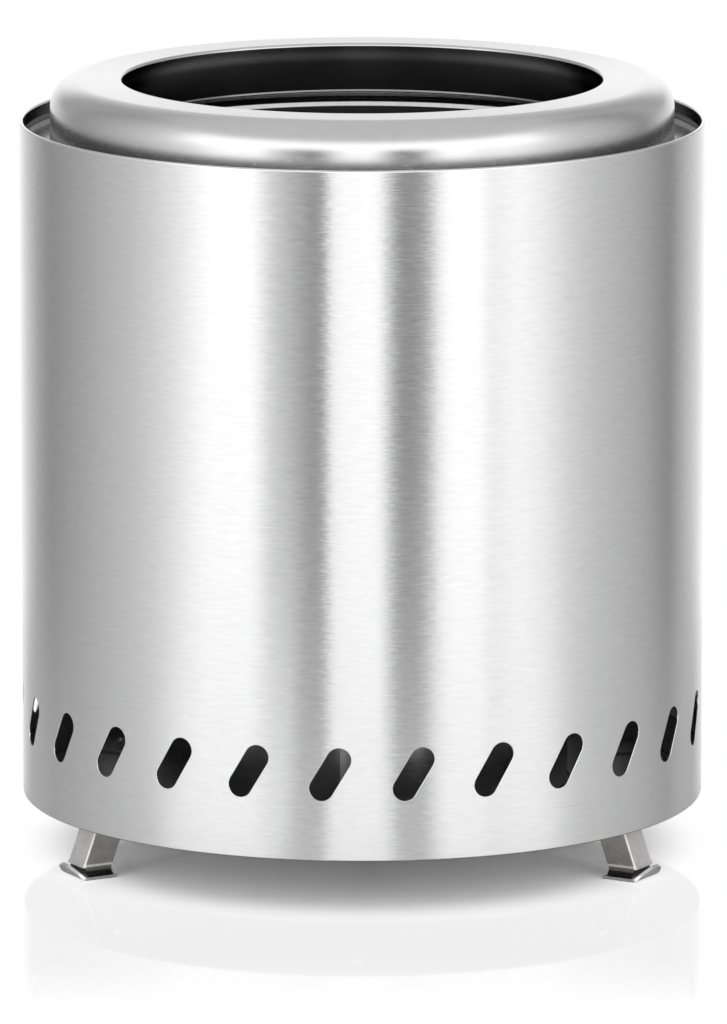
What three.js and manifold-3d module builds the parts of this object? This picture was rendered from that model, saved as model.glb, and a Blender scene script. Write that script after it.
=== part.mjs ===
// Smokeless fire pit: a double-walled round stove on three splayed legs, in millimetres, +Z up.
// It stands on the floor at Z = 0, with its axis on X = Y = 0 and its front towards -Y.
// An azimuth is an angle round the axis: 0 is the front, and it grows towards +X.
import * as THREE from 'three';
import { mergeVertices } from 'three/addons/utils/BufferGeometryUtils.js';
import Module from 'manifold-3d';

const wasm = await Module();
wasm.setup();

// Counts and facets
const roundSides = 64;
const bendSteps = 4;
const holeSides = 8;
const legCount = 3;
const panGripCount = 2;

// Fits
const touchGap = 0.3; // left between pieces that rest on or pass through each other
const cutOverrun = 2; // how far a cutter reaches past the wall that it opens

// Outer shell
const footHeight = 31.5; // floor to the shell's bottom edge
const shellRadius = 190;
const shellHeight = 379;
const shellSheet = 1;
const rimThickness = 2.2; // hemmed top edge
const rimDepth = 7;
const shellLipMargin = 9.3; // turned-in bottom edge, inwards past the bracket screws

// Air slots
const slotPitch = 45.5; // along the shell's surface
const slotWidth = 13.4;
const slotLength = 31.9;
const slotHeight = 48.3; // slot centre above the shell's bottom edge
const slotTilt = 30.9; // degrees from upright, top towards a growing azimuth
const slotRowTurn = 1.6; // degrees
const seamStrip = 10; // plain strip kept for the weld seam at the back

// Top ledge
const ledgeDrop = 3.3; // hemmed rim's lower edge down to the ledge's lip
const ledgeSheet = 1;
const ledgeLipHeight = 1.7;

// Flame ring
const gutterWidth = 17; // shell's outside to the ring's outside
const ringBand = 39; // ring's outside to its opening
const ringRise = 21.9; // ring's flat top above the shell's top
const ringSheet = 1.2;
const shoulderRadius = 16.4;
const beadWidth = 2.6;
const beadHeight = 1.1;
const innerSkirtDepth = 27;
const skirtHemDepth = 4;

// Fire pot
const potSetback = 12; // ring's opening out to the pot's inner wall
const potSheet = 1;
const potRimWidth = 5.5; // rolled rim, outwards from the pot's inner wall
const potRimHeight = 1.8;
const potLift = 66; // base plate's top to the pot's floor
const airHoleDrop = 13; // ledge down to the row of upper air holes
const airHoleRadius = 4;
const airHolePitch = 38;

// Fire grate
const grateClearance = 3; // to the ring's opening, so that the grate lifts out
const grateSeat = 9; // width of the grate's edge that rests on the pot's floor
const grateSheet = 1.5;
const grateDishDepth = 5;
const grateDishClearance = 2;
const grateHoleRadius = 5;
const grateHolePitch = 32;
const grateRowPitch = 26;
const grateFingerRadius = 11;

// Ash pan
const panClearance = 4; // pan's rim to the hole in the pot's floor
const panSheet = 1;
const panRimWidth = 3;
const panRimHeight = 2;
const panHeadroom = 18; // pan's rim up to the pot's floor
const panGripLength = 34;
const panGripHeight = 14;
const panGripDrop = 14; // pan's rim down to a grip's centre

// Base plate
const plateSheet = 1.2;
const panStopWidth = 3; // raised ring that keeps the pan centred
const panStopHeight = 2.5;
const panStopClearance = 2;

// Legs
const legWidth = 19;
const legDepth = 17.5;
const legSheet = 1.5;
const legCornerRadius = 1.2;
const legLean = 20.3; // degrees
const legInset = 6.2; // shell's outside to where the leg's outer face meets the floor's level
const legLipHeight = 6.4; // floor to the leg's bottom edge
const legEarWidth = 16;
const legRowTurn = -0.8; // degrees

// Foot pads
const padSheet = 1.8;
const padFlare = 3.3; // sideways beyond the leg
const padWaist = 0.6; // how far the pad draws in under the leg's edge
const padHeel = 1.9; // inwards beyond the leg's bottom edge
const padPlugHeight = 7;
const tongueRadius = 5;
const tongueSlope = 48; // degrees
const tongueInset = 0.7; // shell's outside to the tongue's tip
const tongueStart = 9.5; // shell's outside to where the sole begins to curl up
const tongueShoulder = 8.6; // shell's outside to where the sole begins to round off

// Pot brackets
const bracketWidth = 20;
const bracketSheet = 1.5;
const bracketFootLength = 24;
const bracketLap = 26; // how far a bracket reaches up the pot's wall
const rivetHeight = 15; // above the pot's floor

// Fasteners
const screwRadius = 2.4;
const screwHeadRadius = 4.4;
const screwHeadHeight = 2.6;
const screwEnd = 1.5; // thread that shows past the nut
const nutRadius = 4.6;
const nutHeight = 4;
const rivetRadius = 1.9;
const rivetHeadRadius = 3.4;
const rivetHeadHeight = 1.3;

// Heights
const shellBottom = footHeight;
const shellTop = shellBottom + shellHeight;
const ledgeTop = shellTop - rimDepth - ledgeDrop - ledgeLipHeight;
const ringBottom = ledgeTop + touchGap;
const ringTop = shellTop + ringRise;
const plateBottom = shellBottom + shellSheet + touchGap;
const plateTop = plateBottom + plateSheet;
const potFloorBottom = plateTop + potLift;
const potFloorTop = potFloorBottom + potSheet;
const grateBottom = potFloorTop + touchGap;
const panBottom = plateTop + touchGap;
const panTop = potFloorBottom - panHeadroom;
const legTop = shellBottom - touchGap;

// Radii
const ringRadius = shellRadius - gutterWidth;
const openingRadius = ringRadius - ringBand;
const potInside = openingRadius + potSetback;
const potOutside = potInside + potSheet;
const grateRadius = openingRadius - grateClearance;
const floorHoleRadius = grateRadius - grateSeat;
const panRimRadius = floorHoleRadius - panClearance;
const panRadius = panRimRadius - panRimWidth;
const panStopRadius = panRadius + panStopClearance;
const plateRadius = shellRadius - shellSheet - touchGap;
const facetShare = Math.cos(Math.PI / roundSides); // a facet's middle, as a share of its corner's radius

// Materials
const steel = (color, roughness) => new THREE.MeshStandardMaterial({ color, roughness, metalness: 1 });
const brushedSteel = steel(0xc9cacb, 0.32);
const satinSteel = steel(0xbfc0c1, 0.38);
const potSteel = steel(0x6c6b6a, 0.45);
const platedSteel = steel(0xa9abad, 0.5);
const legSteel = steel(0xa8a5a0, 0.42);
const padSteel = steel(0xb8b9ba, 0.28);
const zincSteel = steel(0xb9bcc0, 0.4);

const radians = THREE.MathUtils.degToRad;
const point = (x, y) => new THREE.Vector2(x, y);

// Points of an arc about a centre, from one angle to another in degrees
function arc(centreX, centreY, radiusX, radiusY, from, to) {
  const points = [];
  for (let step = 0; step <= bendSteps; step += 1) {
    const angle = radians(THREE.MathUtils.lerp(from, to, step / bendSteps));
    points.push(point(centreX + radiusX * Math.cos(angle), centreY + radiusY * Math.sin(angle)));
  }
  return points;
}

// A closed outline of (radius, height) points turned round the Z axis
function turned(outline, sides = roundSides) {
  const onAxis = outline[0].x === 0;
  const loop = THREE.ShapeUtils.area(outline) < 0 ? [...outline].reverse() : [...outline];
  if (!onAxis) loop.push(loop[0].clone());
  return new THREE.LatheGeometry(loop, sides).rotateX(Math.PI / 2);
}

// A flat outline of (x, y) points made as thick as asked, from Z = 0 upwards
function plate(outline, thickness, holes = []) {
  const shape = new THREE.Shape(outline);
  shape.holes = holes.map((hole) => new THREE.Path(hole));
  return new THREE.ExtrudeGeometry(shape, { depth: thickness, bevelEnabled: false, steps: 1 });
}

function block(lowX, highX, lowY, highY, lowZ, highZ) {
  const box = new THREE.BoxGeometry(highX - lowX, highY - lowY, highZ - lowZ);
  return box.translate((lowX + highX) / 2, (lowY + highY) / 2, (lowZ + highZ) / 2);
}

// A rod along Z that fills a round hole, with a flat side facing +X
function rod(radius, lowZ, highZ, sides = holeSides) {
  const turn = Math.PI / sides;
  const cylinder = new THREE.CylinderGeometry(radius, radius, highZ - lowZ, sides, 1, false, turn);
  return cylinder.rotateX(Math.PI / 2).translate(0, 0, (lowZ + highZ) / 2);
}

// Tilts upright geometry outwards: X falls by the lean's tangent for each unit of height
function leaned(geometry) {
  const slope = -Math.tan(radians(legLean));
  return geometry.applyMatrix4(new THREE.Matrix4().makeShear(0, 0, 0, 0, slope, 0));
}

// Turns local geometry, with X pointing outwards, to face an azimuth in degrees
const azimuthTurn = (azimuth) => radians(azimuth) - Math.PI / 2;
const facing = (geometry, azimuth) => geometry.clone().rotateZ(azimuthTurn(azimuth));

function solidOf(geometry) {
  const bare = geometry.clone();
  bare.deleteAttribute('normal');
  bare.deleteAttribute('uv');
  const welded = mergeVertices(bare);
  const corners = welded.index.array;
  const kept = [];
  for (let first = 0; first < corners.length; first += 3) {
    const [a, b, c] = corners.slice(first, first + 3);
    if (a !== b && b !== c && c !== a) {
      kept.push(a, b, c);
    }
  }
  const vertProperties = new Float32Array(welded.attributes.position.array);
  const triVerts = new Uint32Array(kept);
  return new wasm.Manifold(new wasm.Mesh({ numProp: 3, vertProperties, triVerts }));
}

function geometryOf(solid) {
  const { vertProperties, triVerts } = solid.getMesh();
  const geometry = new THREE.BufferGeometry();
  geometry.setAttribute('position', new THREE.BufferAttribute(vertProperties, 3));
  geometry.setIndex(new THREE.BufferAttribute(triVerts, 1));
  geometry.computeVertexNormals();
  return geometry;
}

const joined = (...parts) => geometryOf(parts.map(solidOf).reduce((all, part) => all.add(part)));
const common = (one, other) => geometryOf(solidOf(one).intersect(solidOf(other)));
const cut = (body, cutters) =>
  geometryOf(cutters.reduce((left, cutter) => left.subtract(solidOf(cutter)), solidOf(body)));

function piece(name, geometry, material, turn = 0) {
  const mesh = new THREE.Mesh(geometry, material);
  mesh.name = name;
  mesh.rotation.z = turn;
  return mesh;
}

// Azimuths of the legs, with the third at the back, and of the brackets halfway between them
const legStep = 360 / legCount;
const legAzimuths = Array.from({ length: legCount }, (_, leg) => legRowTurn + legStep * (leg - 0.5));
const bracketAzimuths = legAzimuths.map((azimuth) => azimuth + legStep / 2);

// Where the legs and brackets are screwed to the bottom, in their own frames
const legFaceAt = (height) => shellRadius - legInset - height * Math.tan(radians(legLean));
const earMiddleX = legFaceAt(legTop) - legDepth / 2;
const earMiddleY = legWidth / 2 + legEarWidth / 2;
const bracketWebInside = potOutside + touchGap;
const bracketScrewX = bracketWebInside + bracketFootLength / 2;
const screwHoleRadius = screwRadius + touchGap;
const rivetHoleRadius = rivetRadius + touchGap;
const rivetZ = potFloorTop + rivetHeight;

const legScrews = legAzimuths.flatMap((azimuth) =>
  [-1, 1].map((side) => ({ azimuth, x: earMiddleX, y: side * earMiddleY })));
const bracketScrews = bracketAzimuths.map((azimuth) => ({ azimuth, x: bracketScrewX, y: 0 }));

// Cutters for the screw holes through everything between two heights
function screwHoles(lowZ, highZ) {
  return [...legScrews, ...bracketScrews].map(({ azimuth, x, y }) =>
    facing(rod(screwHoleRadius, lowZ - cutOverrun, highZ + cutOverrun).translate(x, y, 0), azimuth));
}

function slotCutters() {
  const count = Math.floor((2 * Math.PI * shellRadius - seamStrip) / slotPitch);
  const step = THREE.MathUtils.radToDeg(slotPitch / shellRadius);
  const straight = (slotLength - slotWidth) / 2;
  const half = slotWidth / 2;
  const outline = [
    ...arc(straight, 0, half, half, -90, 90),
    ...arc(-straight, 0, half, half, 90, 270),
  ];
  const depth = shellSheet + 2 * cutOverrun;
  const upright = plate(outline, depth).rotateY(Math.PI / 2).rotateX(radians(-slotTilt));
  upright.translate(shellRadius - shellSheet - cutOverrun, 0, shellBottom + slotHeight);
  return Array.from({ length: count }, (_, slot) =>
    facing(upright, slotRowTurn + step * (slot - (count - 1) / 2)));
}

function outerShell() {
  const rimRadius = rimThickness / 2;
  const inside = shellRadius - shellSheet;
  const lipInside = bracketScrewX - shellLipMargin;
  const body = turned([
    point(lipInside, shellBottom),
    point(shellRadius, shellBottom),
    ...arc(shellRadius - rimRadius, shellTop - rimRadius, rimRadius, rimRadius, 0, 180),
    point(shellRadius - rimThickness, shellTop - rimDepth),
    point(inside, shellTop - rimDepth),
    point(inside, shellBottom + shellSheet),
    point(lipInside, shellBottom + shellSheet),
  ]);
  return cut(body, [...slotCutters(), ...screwHoles(shellBottom, shellBottom + shellSheet)]);
}

function topLedge() {
  const outside = shellRadius - shellSheet - touchGap;
  const inside = potOutside + touchGap;
  return turned([
    point(inside, ledgeTop - ledgeSheet),
    point(outside, ledgeTop - ledgeSheet),
    point(outside, ledgeTop + ledgeLipHeight),
    point(outside - ledgeSheet, ledgeTop + ledgeLipHeight),
    point(outside - ledgeSheet, ledgeTop),
    point(inside, ledgeTop),
  ]);
}

function flameRing() {
  const skirtEnd = ringTop - innerSkirtDepth;
  const hemOutside = openingRadius + 2 * ringSheet;
  const beadMiddle = openingRadius + beadWidth / 2;
  const shoulderX = ringRadius - shoulderRadius;
  const shoulderZ = ringTop - shoulderRadius;
  const shoulderInside = shoulderRadius - ringSheet;
  return turned([
    point(openingRadius, skirtEnd),
    ...arc(beadMiddle, ringTop, beadWidth / 2, beadHeight, 180, 0),
    ...arc(shoulderX, shoulderZ, shoulderRadius, shoulderRadius, 90, 0),
    point(ringRadius, ringBottom),
    point(ringRadius - ringSheet, ringBottom),
    ...arc(shoulderX, shoulderZ, shoulderInside, shoulderInside, 0, 90),
    point(openingRadius + ringSheet, ringTop - ringSheet),
    point(openingRadius + ringSheet, skirtEnd + skirtHemDepth),
    point(hemOutside, skirtEnd + skirtHemDepth),
    point(hemOutside, skirtEnd),
  ]);
}

function firePot() {
  const rimBottom = ledgeTop + touchGap;
  const rimMiddle = rimBottom + potRimHeight / 2;
  const roll = potRimHeight / 2;
  const rimOutside = potInside + potRimWidth;
  const body = turned([
    point(floorHoleRadius, potFloorBottom),
    point(potOutside, potFloorBottom),
    point(potOutside, rimBottom),
    point(rimOutside - roll, rimBottom),
    ...arc(rimOutside - roll, rimMiddle, roll, roll, 0, 90),
    ...arc(potInside + roll, rimMiddle, roll, roll, 90, 180),
    point(potInside, potFloorTop),
    point(floorHoleRadius, potFloorTop),
  ]);
  const holeCount = Math.round((2 * Math.PI * potInside) / airHolePitch);
  const low = potInside - cutOverrun;
  const high = potOutside + cutOverrun;
  const airHole = rod(airHoleRadius, low, high).rotateY(Math.PI / 2);
  airHole.translate(0, 0, ledgeTop - airHoleDrop);
  const rivetHole = rod(rivetHoleRadius, low, high).rotateY(Math.PI / 2);
  rivetHole.translate(0, 0, rivetZ);
  const airHoles = Array.from({ length: holeCount }, (_, hole) =>
    facing(airHole, (hole * 360) / holeCount));
  const rivetHoles = bracketAzimuths.map((azimuth) => facing(rivetHole, azimuth));
  return cut(body, [...airHoles, ...rivetHoles]);
}

function fireGrate() {
  const dishRadius = floorHoleRadius - grateDishClearance;
  const dishBottom = grateBottom - grateDishDepth;
  const body = turned([
    point(0, dishBottom),
    point(dishRadius, dishBottom),
    point(dishRadius, grateBottom),
    point(grateRadius, grateBottom),
    point(grateRadius, grateBottom + grateSheet),
    point(dishRadius - grateSheet, grateBottom + grateSheet),
    point(dishRadius - grateSheet, dishBottom + grateSheet),
    point(0, dishBottom + grateSheet),
  ]);
  const low = dishBottom - cutOverrun;
  const high = dishBottom + grateSheet + cutOverrun;
  const cutters = [rod(grateFingerRadius, low, high)];
  for (let row = grateRowPitch; row + grateRowPitch / 2 < dishRadius; row += grateRowPitch) {
    const holeCount = Math.round((2 * Math.PI * row) / grateHolePitch);
    const hole = rod(grateHoleRadius, low, high).translate(row, 0, 0);
    for (let index = 0; index < holeCount; index += 1) {
      cutters.push(facing(hole, (index * 360) / holeCount));
    }
  }
  return cut(body, cutters);
}

function ashPan() {
  const inside = panRadius - panSheet;
  const body = turned([
    point(0, panBottom),
    point(panRadius, panBottom),
    point(panRadius, panTop - panRimHeight),
    point(panRimRadius, panTop - panRimHeight),
    point(panRimRadius, panTop),
    point(inside, panTop),
    point(inside, panBottom + panSheet),
    point(0, panBottom + panSheet),
  ]);
  const half = panGripHeight / 2;
  const straight = (panGripLength - panGripHeight) / 2;
  const outline = [
    ...arc(0, straight, half, half, 0, 180),
    ...arc(0, -straight, half, half, 180, 360),
  ];
  const grip = plate(outline, panSheet + 2 * cutOverrun).rotateY(Math.PI / 2);
  grip.translate(inside - cutOverrun, 0, panTop - panGripDrop);
  const grips = Array.from({ length: panGripCount }, (_, side) =>
    facing(grip, (side + 0.5) * (360 / panGripCount)));
  return cut(body, grips);
}

function basePlate() {
  const body = turned([
    point(0, plateBottom),
    point(plateRadius, plateBottom),
    point(plateRadius, plateTop),
    point(panStopRadius + panStopWidth, plateTop),
    point(panStopRadius + panStopWidth, plateTop + panStopHeight),
    point(panStopRadius, plateTop + panStopHeight),
    point(panStopRadius, plateTop),
    point(0, plateTop),
  ]);
  return cut(body, screwHoles(plateBottom, plateTop));
}

// A leg in its own frame: X outwards, Y sideways, Z up
function leg() {
  const half = legWidth / 2;
  const wall = half - legSheet;
  const corner = legCornerRadius;
  const channel = plate([
    point(-legDepth, -half),
    ...arc(-corner, corner - half, corner, corner, -90, 0),
    ...arc(-corner, half - corner, corner, corner, 0, 90),
    point(-legDepth, half),
    point(-legDepth, wall),
    point(-legSheet, wall),
    point(-legSheet, -wall),
    point(-legDepth, -wall),
  ], legTop - legLipHeight);
  const column = leaned(channel).translate(legFaceAt(legLipHeight), 0, legLipHeight);
  const earInside = earMiddleX - legDepth / 2;
  const earOutside = earMiddleX + legDepth / 2 - legCornerRadius;
  const earBottom = legTop - legSheet;
  const ears = [
    block(earInside, earOutside, wall, half + legEarWidth, earBottom, legTop),
    block(earInside, earOutside, -half - legEarWidth, -wall, earBottom, legTop),
  ];
  const hole = rod(screwHoleRadius, earBottom - cutOverrun, legTop + cutOverrun);
  const holes = [-1, 1].map((side) => hole.clone().translate(earMiddleX, side * earMiddleY, 0));
  return cut(joined(column, ...ears), holes);
}

// A foot pad in the leg's frame: a waisted block, a plug inside the leg, and a sole with a raised tongue
function footPad() {
  const half = legWidth / 2;
  const soleHalf = half + padFlare;
  const waistHalf = half - padWaist;
  const waistTop = legLipHeight - touchGap;
  const flareRadiusY = soleHalf - waistHalf;
  const flareRadiusZ = waistTop - padSheet;
  const section = [
    point(-soleHalf, 0),
    point(soleHalf, 0),
    ...arc(soleHalf, waistTop, flareRadiusY, flareRadiusZ, -90, -180),
    ...arc(-soleHalf, waistTop, flareRadiusY, flareRadiusZ, 0, -90),
  ];
  const blockLength = legDepth - legSheet;
  const blockStart = legFaceAt(legLipHeight) - legDepth;
  const waist = plate(section, blockLength).rotateX(Math.PI / 2).rotateZ(Math.PI / 2);
  waist.translate(blockStart, 0, 0);

  const plugHalf = half - legSheet - touchGap;
  const plugLow = waistTop - padSheet;
  const plug = leaned(block(
    -legDepth, -legSheet - touchGap, -plugHalf, plugHalf, 0, padPlugHeight + padSheet,
  )).translate(legFaceAt(plugLow), 0, plugLow);

  const heel = blockStart - padHeel;
  const curl = shellRadius - tongueStart;
  const tip = shellRadius - tongueInset;
  const slope = radians(tongueSlope);
  const outerRadius = tongueRadius;
  const innerRadius = tongueRadius - padSheet;
  const bendX = curl + outerRadius * Math.sin(slope);
  const bendZ = outerRadius * (1 - Math.cos(slope));
  const tipZ = bendZ + (tip - bendX) * Math.tan(slope);
  const side = [
    point(heel, 0),
    ...arc(curl, tongueRadius, outerRadius, outerRadius, -90, tongueSlope - 90),
    point(tip, tipZ),
    point(tip - padSheet * Math.sin(slope), tipZ + padSheet * Math.cos(slope)),
    ...arc(curl, tongueRadius, innerRadius, innerRadius, tongueSlope - 90, -90),
    point(heel, padSheet),
  ];
  const strip = plate(side, 2 * soleHalf).rotateX(Math.PI / 2).translate(0, soleHalf, 0);
  const shoulderX = shellRadius - tongueShoulder;
  const plan = [
    point(heel, -soleHalf),
    ...arc(shoulderX, 0, tip - shoulderX, soleHalf, -90, 0),
    ...arc(shoulderX, 0, tip - shoulderX, soleHalf, 0, 90),
    point(heel, soleHalf),
  ];
  const sole = common(strip, plate(plan, tipZ + 2 * padSheet + cutOverrun).translate(0, 0, -cutOverrun));
  return joined(waist, plug, sole);
}

// A pot bracket in its own frame: an upright strap against the pot and a foot on the base plate
function potBracket() {
  const bottom = plateTop + touchGap;
  const half = bracketWidth / 2;
  const webOutside = bracketWebInside + bracketSheet;
  const web = block(bracketWebInside, webOutside, -half, half, bottom, potFloorTop + bracketLap);
  const footEnd = bracketWebInside + bracketFootLength;
  const foot = block(bracketWebInside, footEnd, -half, half, bottom, bottom + bracketSheet);
  const screwHole = rod(screwHoleRadius, bottom - cutOverrun, bottom + bracketSheet + cutOverrun);
  const rivetHole = rod(rivetHoleRadius, bracketWebInside - cutOverrun, webOutside + cutOverrun);
  return cut(joined(web, foot), [
    screwHole.translate(bracketScrewX, 0, 0),
    rivetHole.rotateY(Math.PI / 2).translate(0, 0, rivetZ),
  ]);
}

// A screw that clamps everything from one height to another, with its head below and a nut above
function screw(clampBottom, clampTop) {
  const headTop = clampBottom - touchGap;
  const end = clampTop + touchGap + nutHeight + screwEnd;
  return turned([
    point(0, headTop - screwHeadHeight),
    point(screwHeadRadius, headTop - screwHeadHeight),
    point(screwHeadRadius, headTop),
    point(screwRadius, headTop),
    point(screwRadius, end),
    point(0, end),
  ], holeSides);
}

function nut(clampTop) {
  const hexagon = Array.from({ length: 6 }, (_, corner) => {
    const angle = (corner * Math.PI) / 3;
    return point(nutRadius * Math.cos(angle), nutRadius * Math.sin(angle));
  });
  const bore = Array.from({ length: holeSides }, (_, corner) => {
    const angle = (-2 * Math.PI * (corner + 0.5)) / holeSides;
    return point(screwHoleRadius * Math.cos(angle), screwHoleRadius * Math.sin(angle));
  });
  return plate(hexagon, nutHeight, [bore]).translate(0, 0, clampTop + touchGap);
}

// A rivet along X through the pot's wall and a bracket, with a head at each end
function potRivet() {
  const headFace = potInside * facetShare - touchGap;
  const tailFace = bracketWebInside + bracketSheet + touchGap;
  return turned([
    point(0, headFace - rivetHeadHeight),
    point(rivetHeadRadius, headFace - rivetHeadHeight),
    point(rivetHeadRadius, headFace),
    point(rivetRadius, headFace),
    point(rivetRadius, tailFace),
    point(rivetHeadRadius, tailFace),
    point(rivetHeadRadius, tailFace + rivetHeadHeight),
    point(0, tailFace + rivetHeadHeight),
  ], holeSides).rotateY(Math.PI / 2).translate(0, 0, rivetZ);
}

const firePit = new THREE.Group();
firePit.add(
  piece('outer_shell', outerShell(), brushedSteel),
  piece('base_plate', basePlate(), platedSteel),
  piece('top_ledge', topLedge(), satinSteel),
  piece('flame_ring', flameRing(), satinSteel),
  piece('fire_pot', firePot(), potSteel),
  piece('fire_grate', fireGrate(), potSteel),
  piece('ash_pan', ashPan(), platedSteel),
);

const legShape = leg();
const padShape = footPad();
const bracketShape = potBracket();
const rivetShape = potRivet();
for (let index = 0; index < legCount; index += 1) {
  firePit.add(
    piece(`leg_${index + 1}`, legShape, legSteel, azimuthTurn(legAzimuths[index])),
    piece(`foot_pad_${index + 1}`, padShape, padSteel, azimuthTurn(legAzimuths[index])),
    piece(`pot_bracket_${index + 1}`, bracketShape, platedSteel, azimuthTurn(bracketAzimuths[index])),
    piece(`pot_rivet_${index + 1}`, rivetShape, zincSteel, azimuthTurn(bracketAzimuths[index])),
  );
}

// Adds a row of screws and their nuts, each at its place in its leg's or bracket's frame
function addFasteners(prefix, places, clampBottom, clampTop) {
  const screwShape = screw(clampBottom, clampTop);
  const nutShape = nut(clampTop);
  places.forEach(({ azimuth, x, y }, index) => {
    const turn = azimuthTurn(azimuth);
    firePit.add(
      piece(`${prefix}_screw_${index + 1}`, screwShape.clone().translate(x, y, 0), zincSteel, turn),
      piece(`${prefix}_nut_${index + 1}`, nutShape.clone().translate(x, y, 0), zincSteel, turn),
    );
  });
}
addFasteners('leg', legScrews, legTop - legSheet, plateTop);
addFasteners('bracket', bracketScrews, shellBottom, plateTop + touchGap + bracketSheet);

export default firePit;
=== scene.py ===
"""Smokeless fire pit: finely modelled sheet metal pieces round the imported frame, on a pale studio floor."""
import math

import bpy
from bpy.props import FloatProperty, FloatVectorProperty, IntProperty, PointerProperty
from mathutils import Matrix, Vector


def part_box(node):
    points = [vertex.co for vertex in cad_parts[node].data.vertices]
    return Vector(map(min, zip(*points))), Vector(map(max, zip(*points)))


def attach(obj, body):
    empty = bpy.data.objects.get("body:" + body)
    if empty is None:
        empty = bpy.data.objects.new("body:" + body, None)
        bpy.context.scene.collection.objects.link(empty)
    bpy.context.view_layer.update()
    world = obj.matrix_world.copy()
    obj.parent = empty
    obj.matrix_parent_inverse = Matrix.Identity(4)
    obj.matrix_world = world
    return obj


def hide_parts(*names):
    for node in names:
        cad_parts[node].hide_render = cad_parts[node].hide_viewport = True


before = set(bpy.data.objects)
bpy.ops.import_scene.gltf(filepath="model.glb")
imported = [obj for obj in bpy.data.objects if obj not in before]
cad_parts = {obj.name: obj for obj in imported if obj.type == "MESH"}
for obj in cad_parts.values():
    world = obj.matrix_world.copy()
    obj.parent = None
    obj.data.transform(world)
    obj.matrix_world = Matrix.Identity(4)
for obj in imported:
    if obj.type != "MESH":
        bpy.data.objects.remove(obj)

bl_info = {
    "name": "Smokeless fire pit",
    "version": (1, 0, 0),
    "blender": (4, 5, 0),
    "location": "View3D > Sidebar > Fire pit",
    "description": "Builds a double-walled fire pit with its flame ring, grate, ash pan and legs",
    "category": "Add Mesh",
}

MM = 0.001

# Flat sides of the frame's round walls
FRAME_SIDES = 64

# How far a cutter runs past what it cuts
OVERRUN = 3 * MM

# Shares of a sheet, or of half an edge's thickness, that a rounding takes
FULL_ROUND = 0.98
SOFT_ROUND = 0.9

# A fold sharper than this is a cut edge, and a gentler one a bend
CUT_EDGE = math.radians(50)

# How much of a face's normal lies along the way that it is said to face
FACING = 0.9

# Spans that most of a noise's values lie within
CLOUD_SPAN = (0.3, 0.7)
STREAK_SPAN = (0.25, 0.75)

# Boxes of the frame's nodes, which the pieces are fitted to
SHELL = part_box("outer_shell")
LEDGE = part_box("top_ledge")
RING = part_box("flame_ring")
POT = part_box("fire_pot")
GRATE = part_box("fire_grate")
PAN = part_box("ash_pan")
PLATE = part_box("base_plate")
LEG_NAMES = sorted(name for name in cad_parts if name.startswith("leg_") and name[4:].isdigit())
PAD_NAMES = [name.replace("leg", "foot_pad") for name in LEG_NAMES]
BRACKET_NAMES = [name.replace("leg", "pot_bracket") for name in LEG_NAMES]
RIVET_NAMES = [name.replace("leg", "pot_rivet") for name in LEG_NAMES]


def length(name, default, description):
    """A length property, in metres, whose default is given in millimetres."""
    return FloatProperty(name=name, description=description, default=default * MM, min=0, unit="LENGTH")


def tilt(name, default, description):
    """An angle property, in radians, whose default is given in degrees."""
    return FloatProperty(name=name, description=description, default=math.radians(default), subtype="ANGLE")


def number_of(name, default, description, least=0):
    return IntProperty(name=name, description=description, default=default, min=least)


def tone(name, red, green, blue):
    return FloatVectorProperty(
        name=name, description=f"{name} of the steel", default=(red, green, blue), size=3,
        min=0, max=1, subtype="COLOR",
    )


class FirePitSheet(bpy.types.PropertyGroup):
    """Sheet metal sizes that several pieces share."""

    columns: number_of("Columns", 288, "Faces round a large turned piece", 24)
    fold_steps: number_of("Fold steps", 6, "Faces round a bend of a quarter turn", 2)
    hole_sides: number_of("Hole sides", 28, "Faces round a small hole", 8)
    edge: length("Edge", 0.2, "Rounding of a sheet's cut edge")
    crease: length("Crease", 0.3, "Rounding of a tight inside corner")
    weld: length("Weld", 0.004, "Distance within which a mesh's points are merged")


class FirePitShell(bpy.types.PropertyGroup):
    """Outer shell with its hemmed rim and the row of air slots."""

    sheet: length("Sheet", 1, "Thickness of the wall")
    hem_width: length("Hem width", 2.2, "Thickness of the hemmed rim")
    hem_depth: length("Hem depth", 7, "Height of the hem on the inside")
    bottom_bend: length("Bottom bend", 1.1, "Outside radius of the bend at the bottom edge")
    slot_pitch: length("Slot pitch", 45.5, "Distance between slots, along the wall")
    slot_width: length("Slot width", 13.4, "Width of a slot")
    slot_length: length("Slot length", 31.9, "Length of a slot")
    slot_height: length("Slot height", 48.3, "Height of the slots' centres above the bottom edge")
    slot_tilt: tilt("Slot tilt", 30.9, "Lean of a slot from upright")
    slot_turn: tilt("Slot row turn", 1.6, "Turn of the whole row")
    slot_edge: length("Slot edge", 0.35, "Rounding of a slot's outer edge")
    seam_strip: length("Seam strip", 10, "Plain strip kept for the weld seam at the back")


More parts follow.
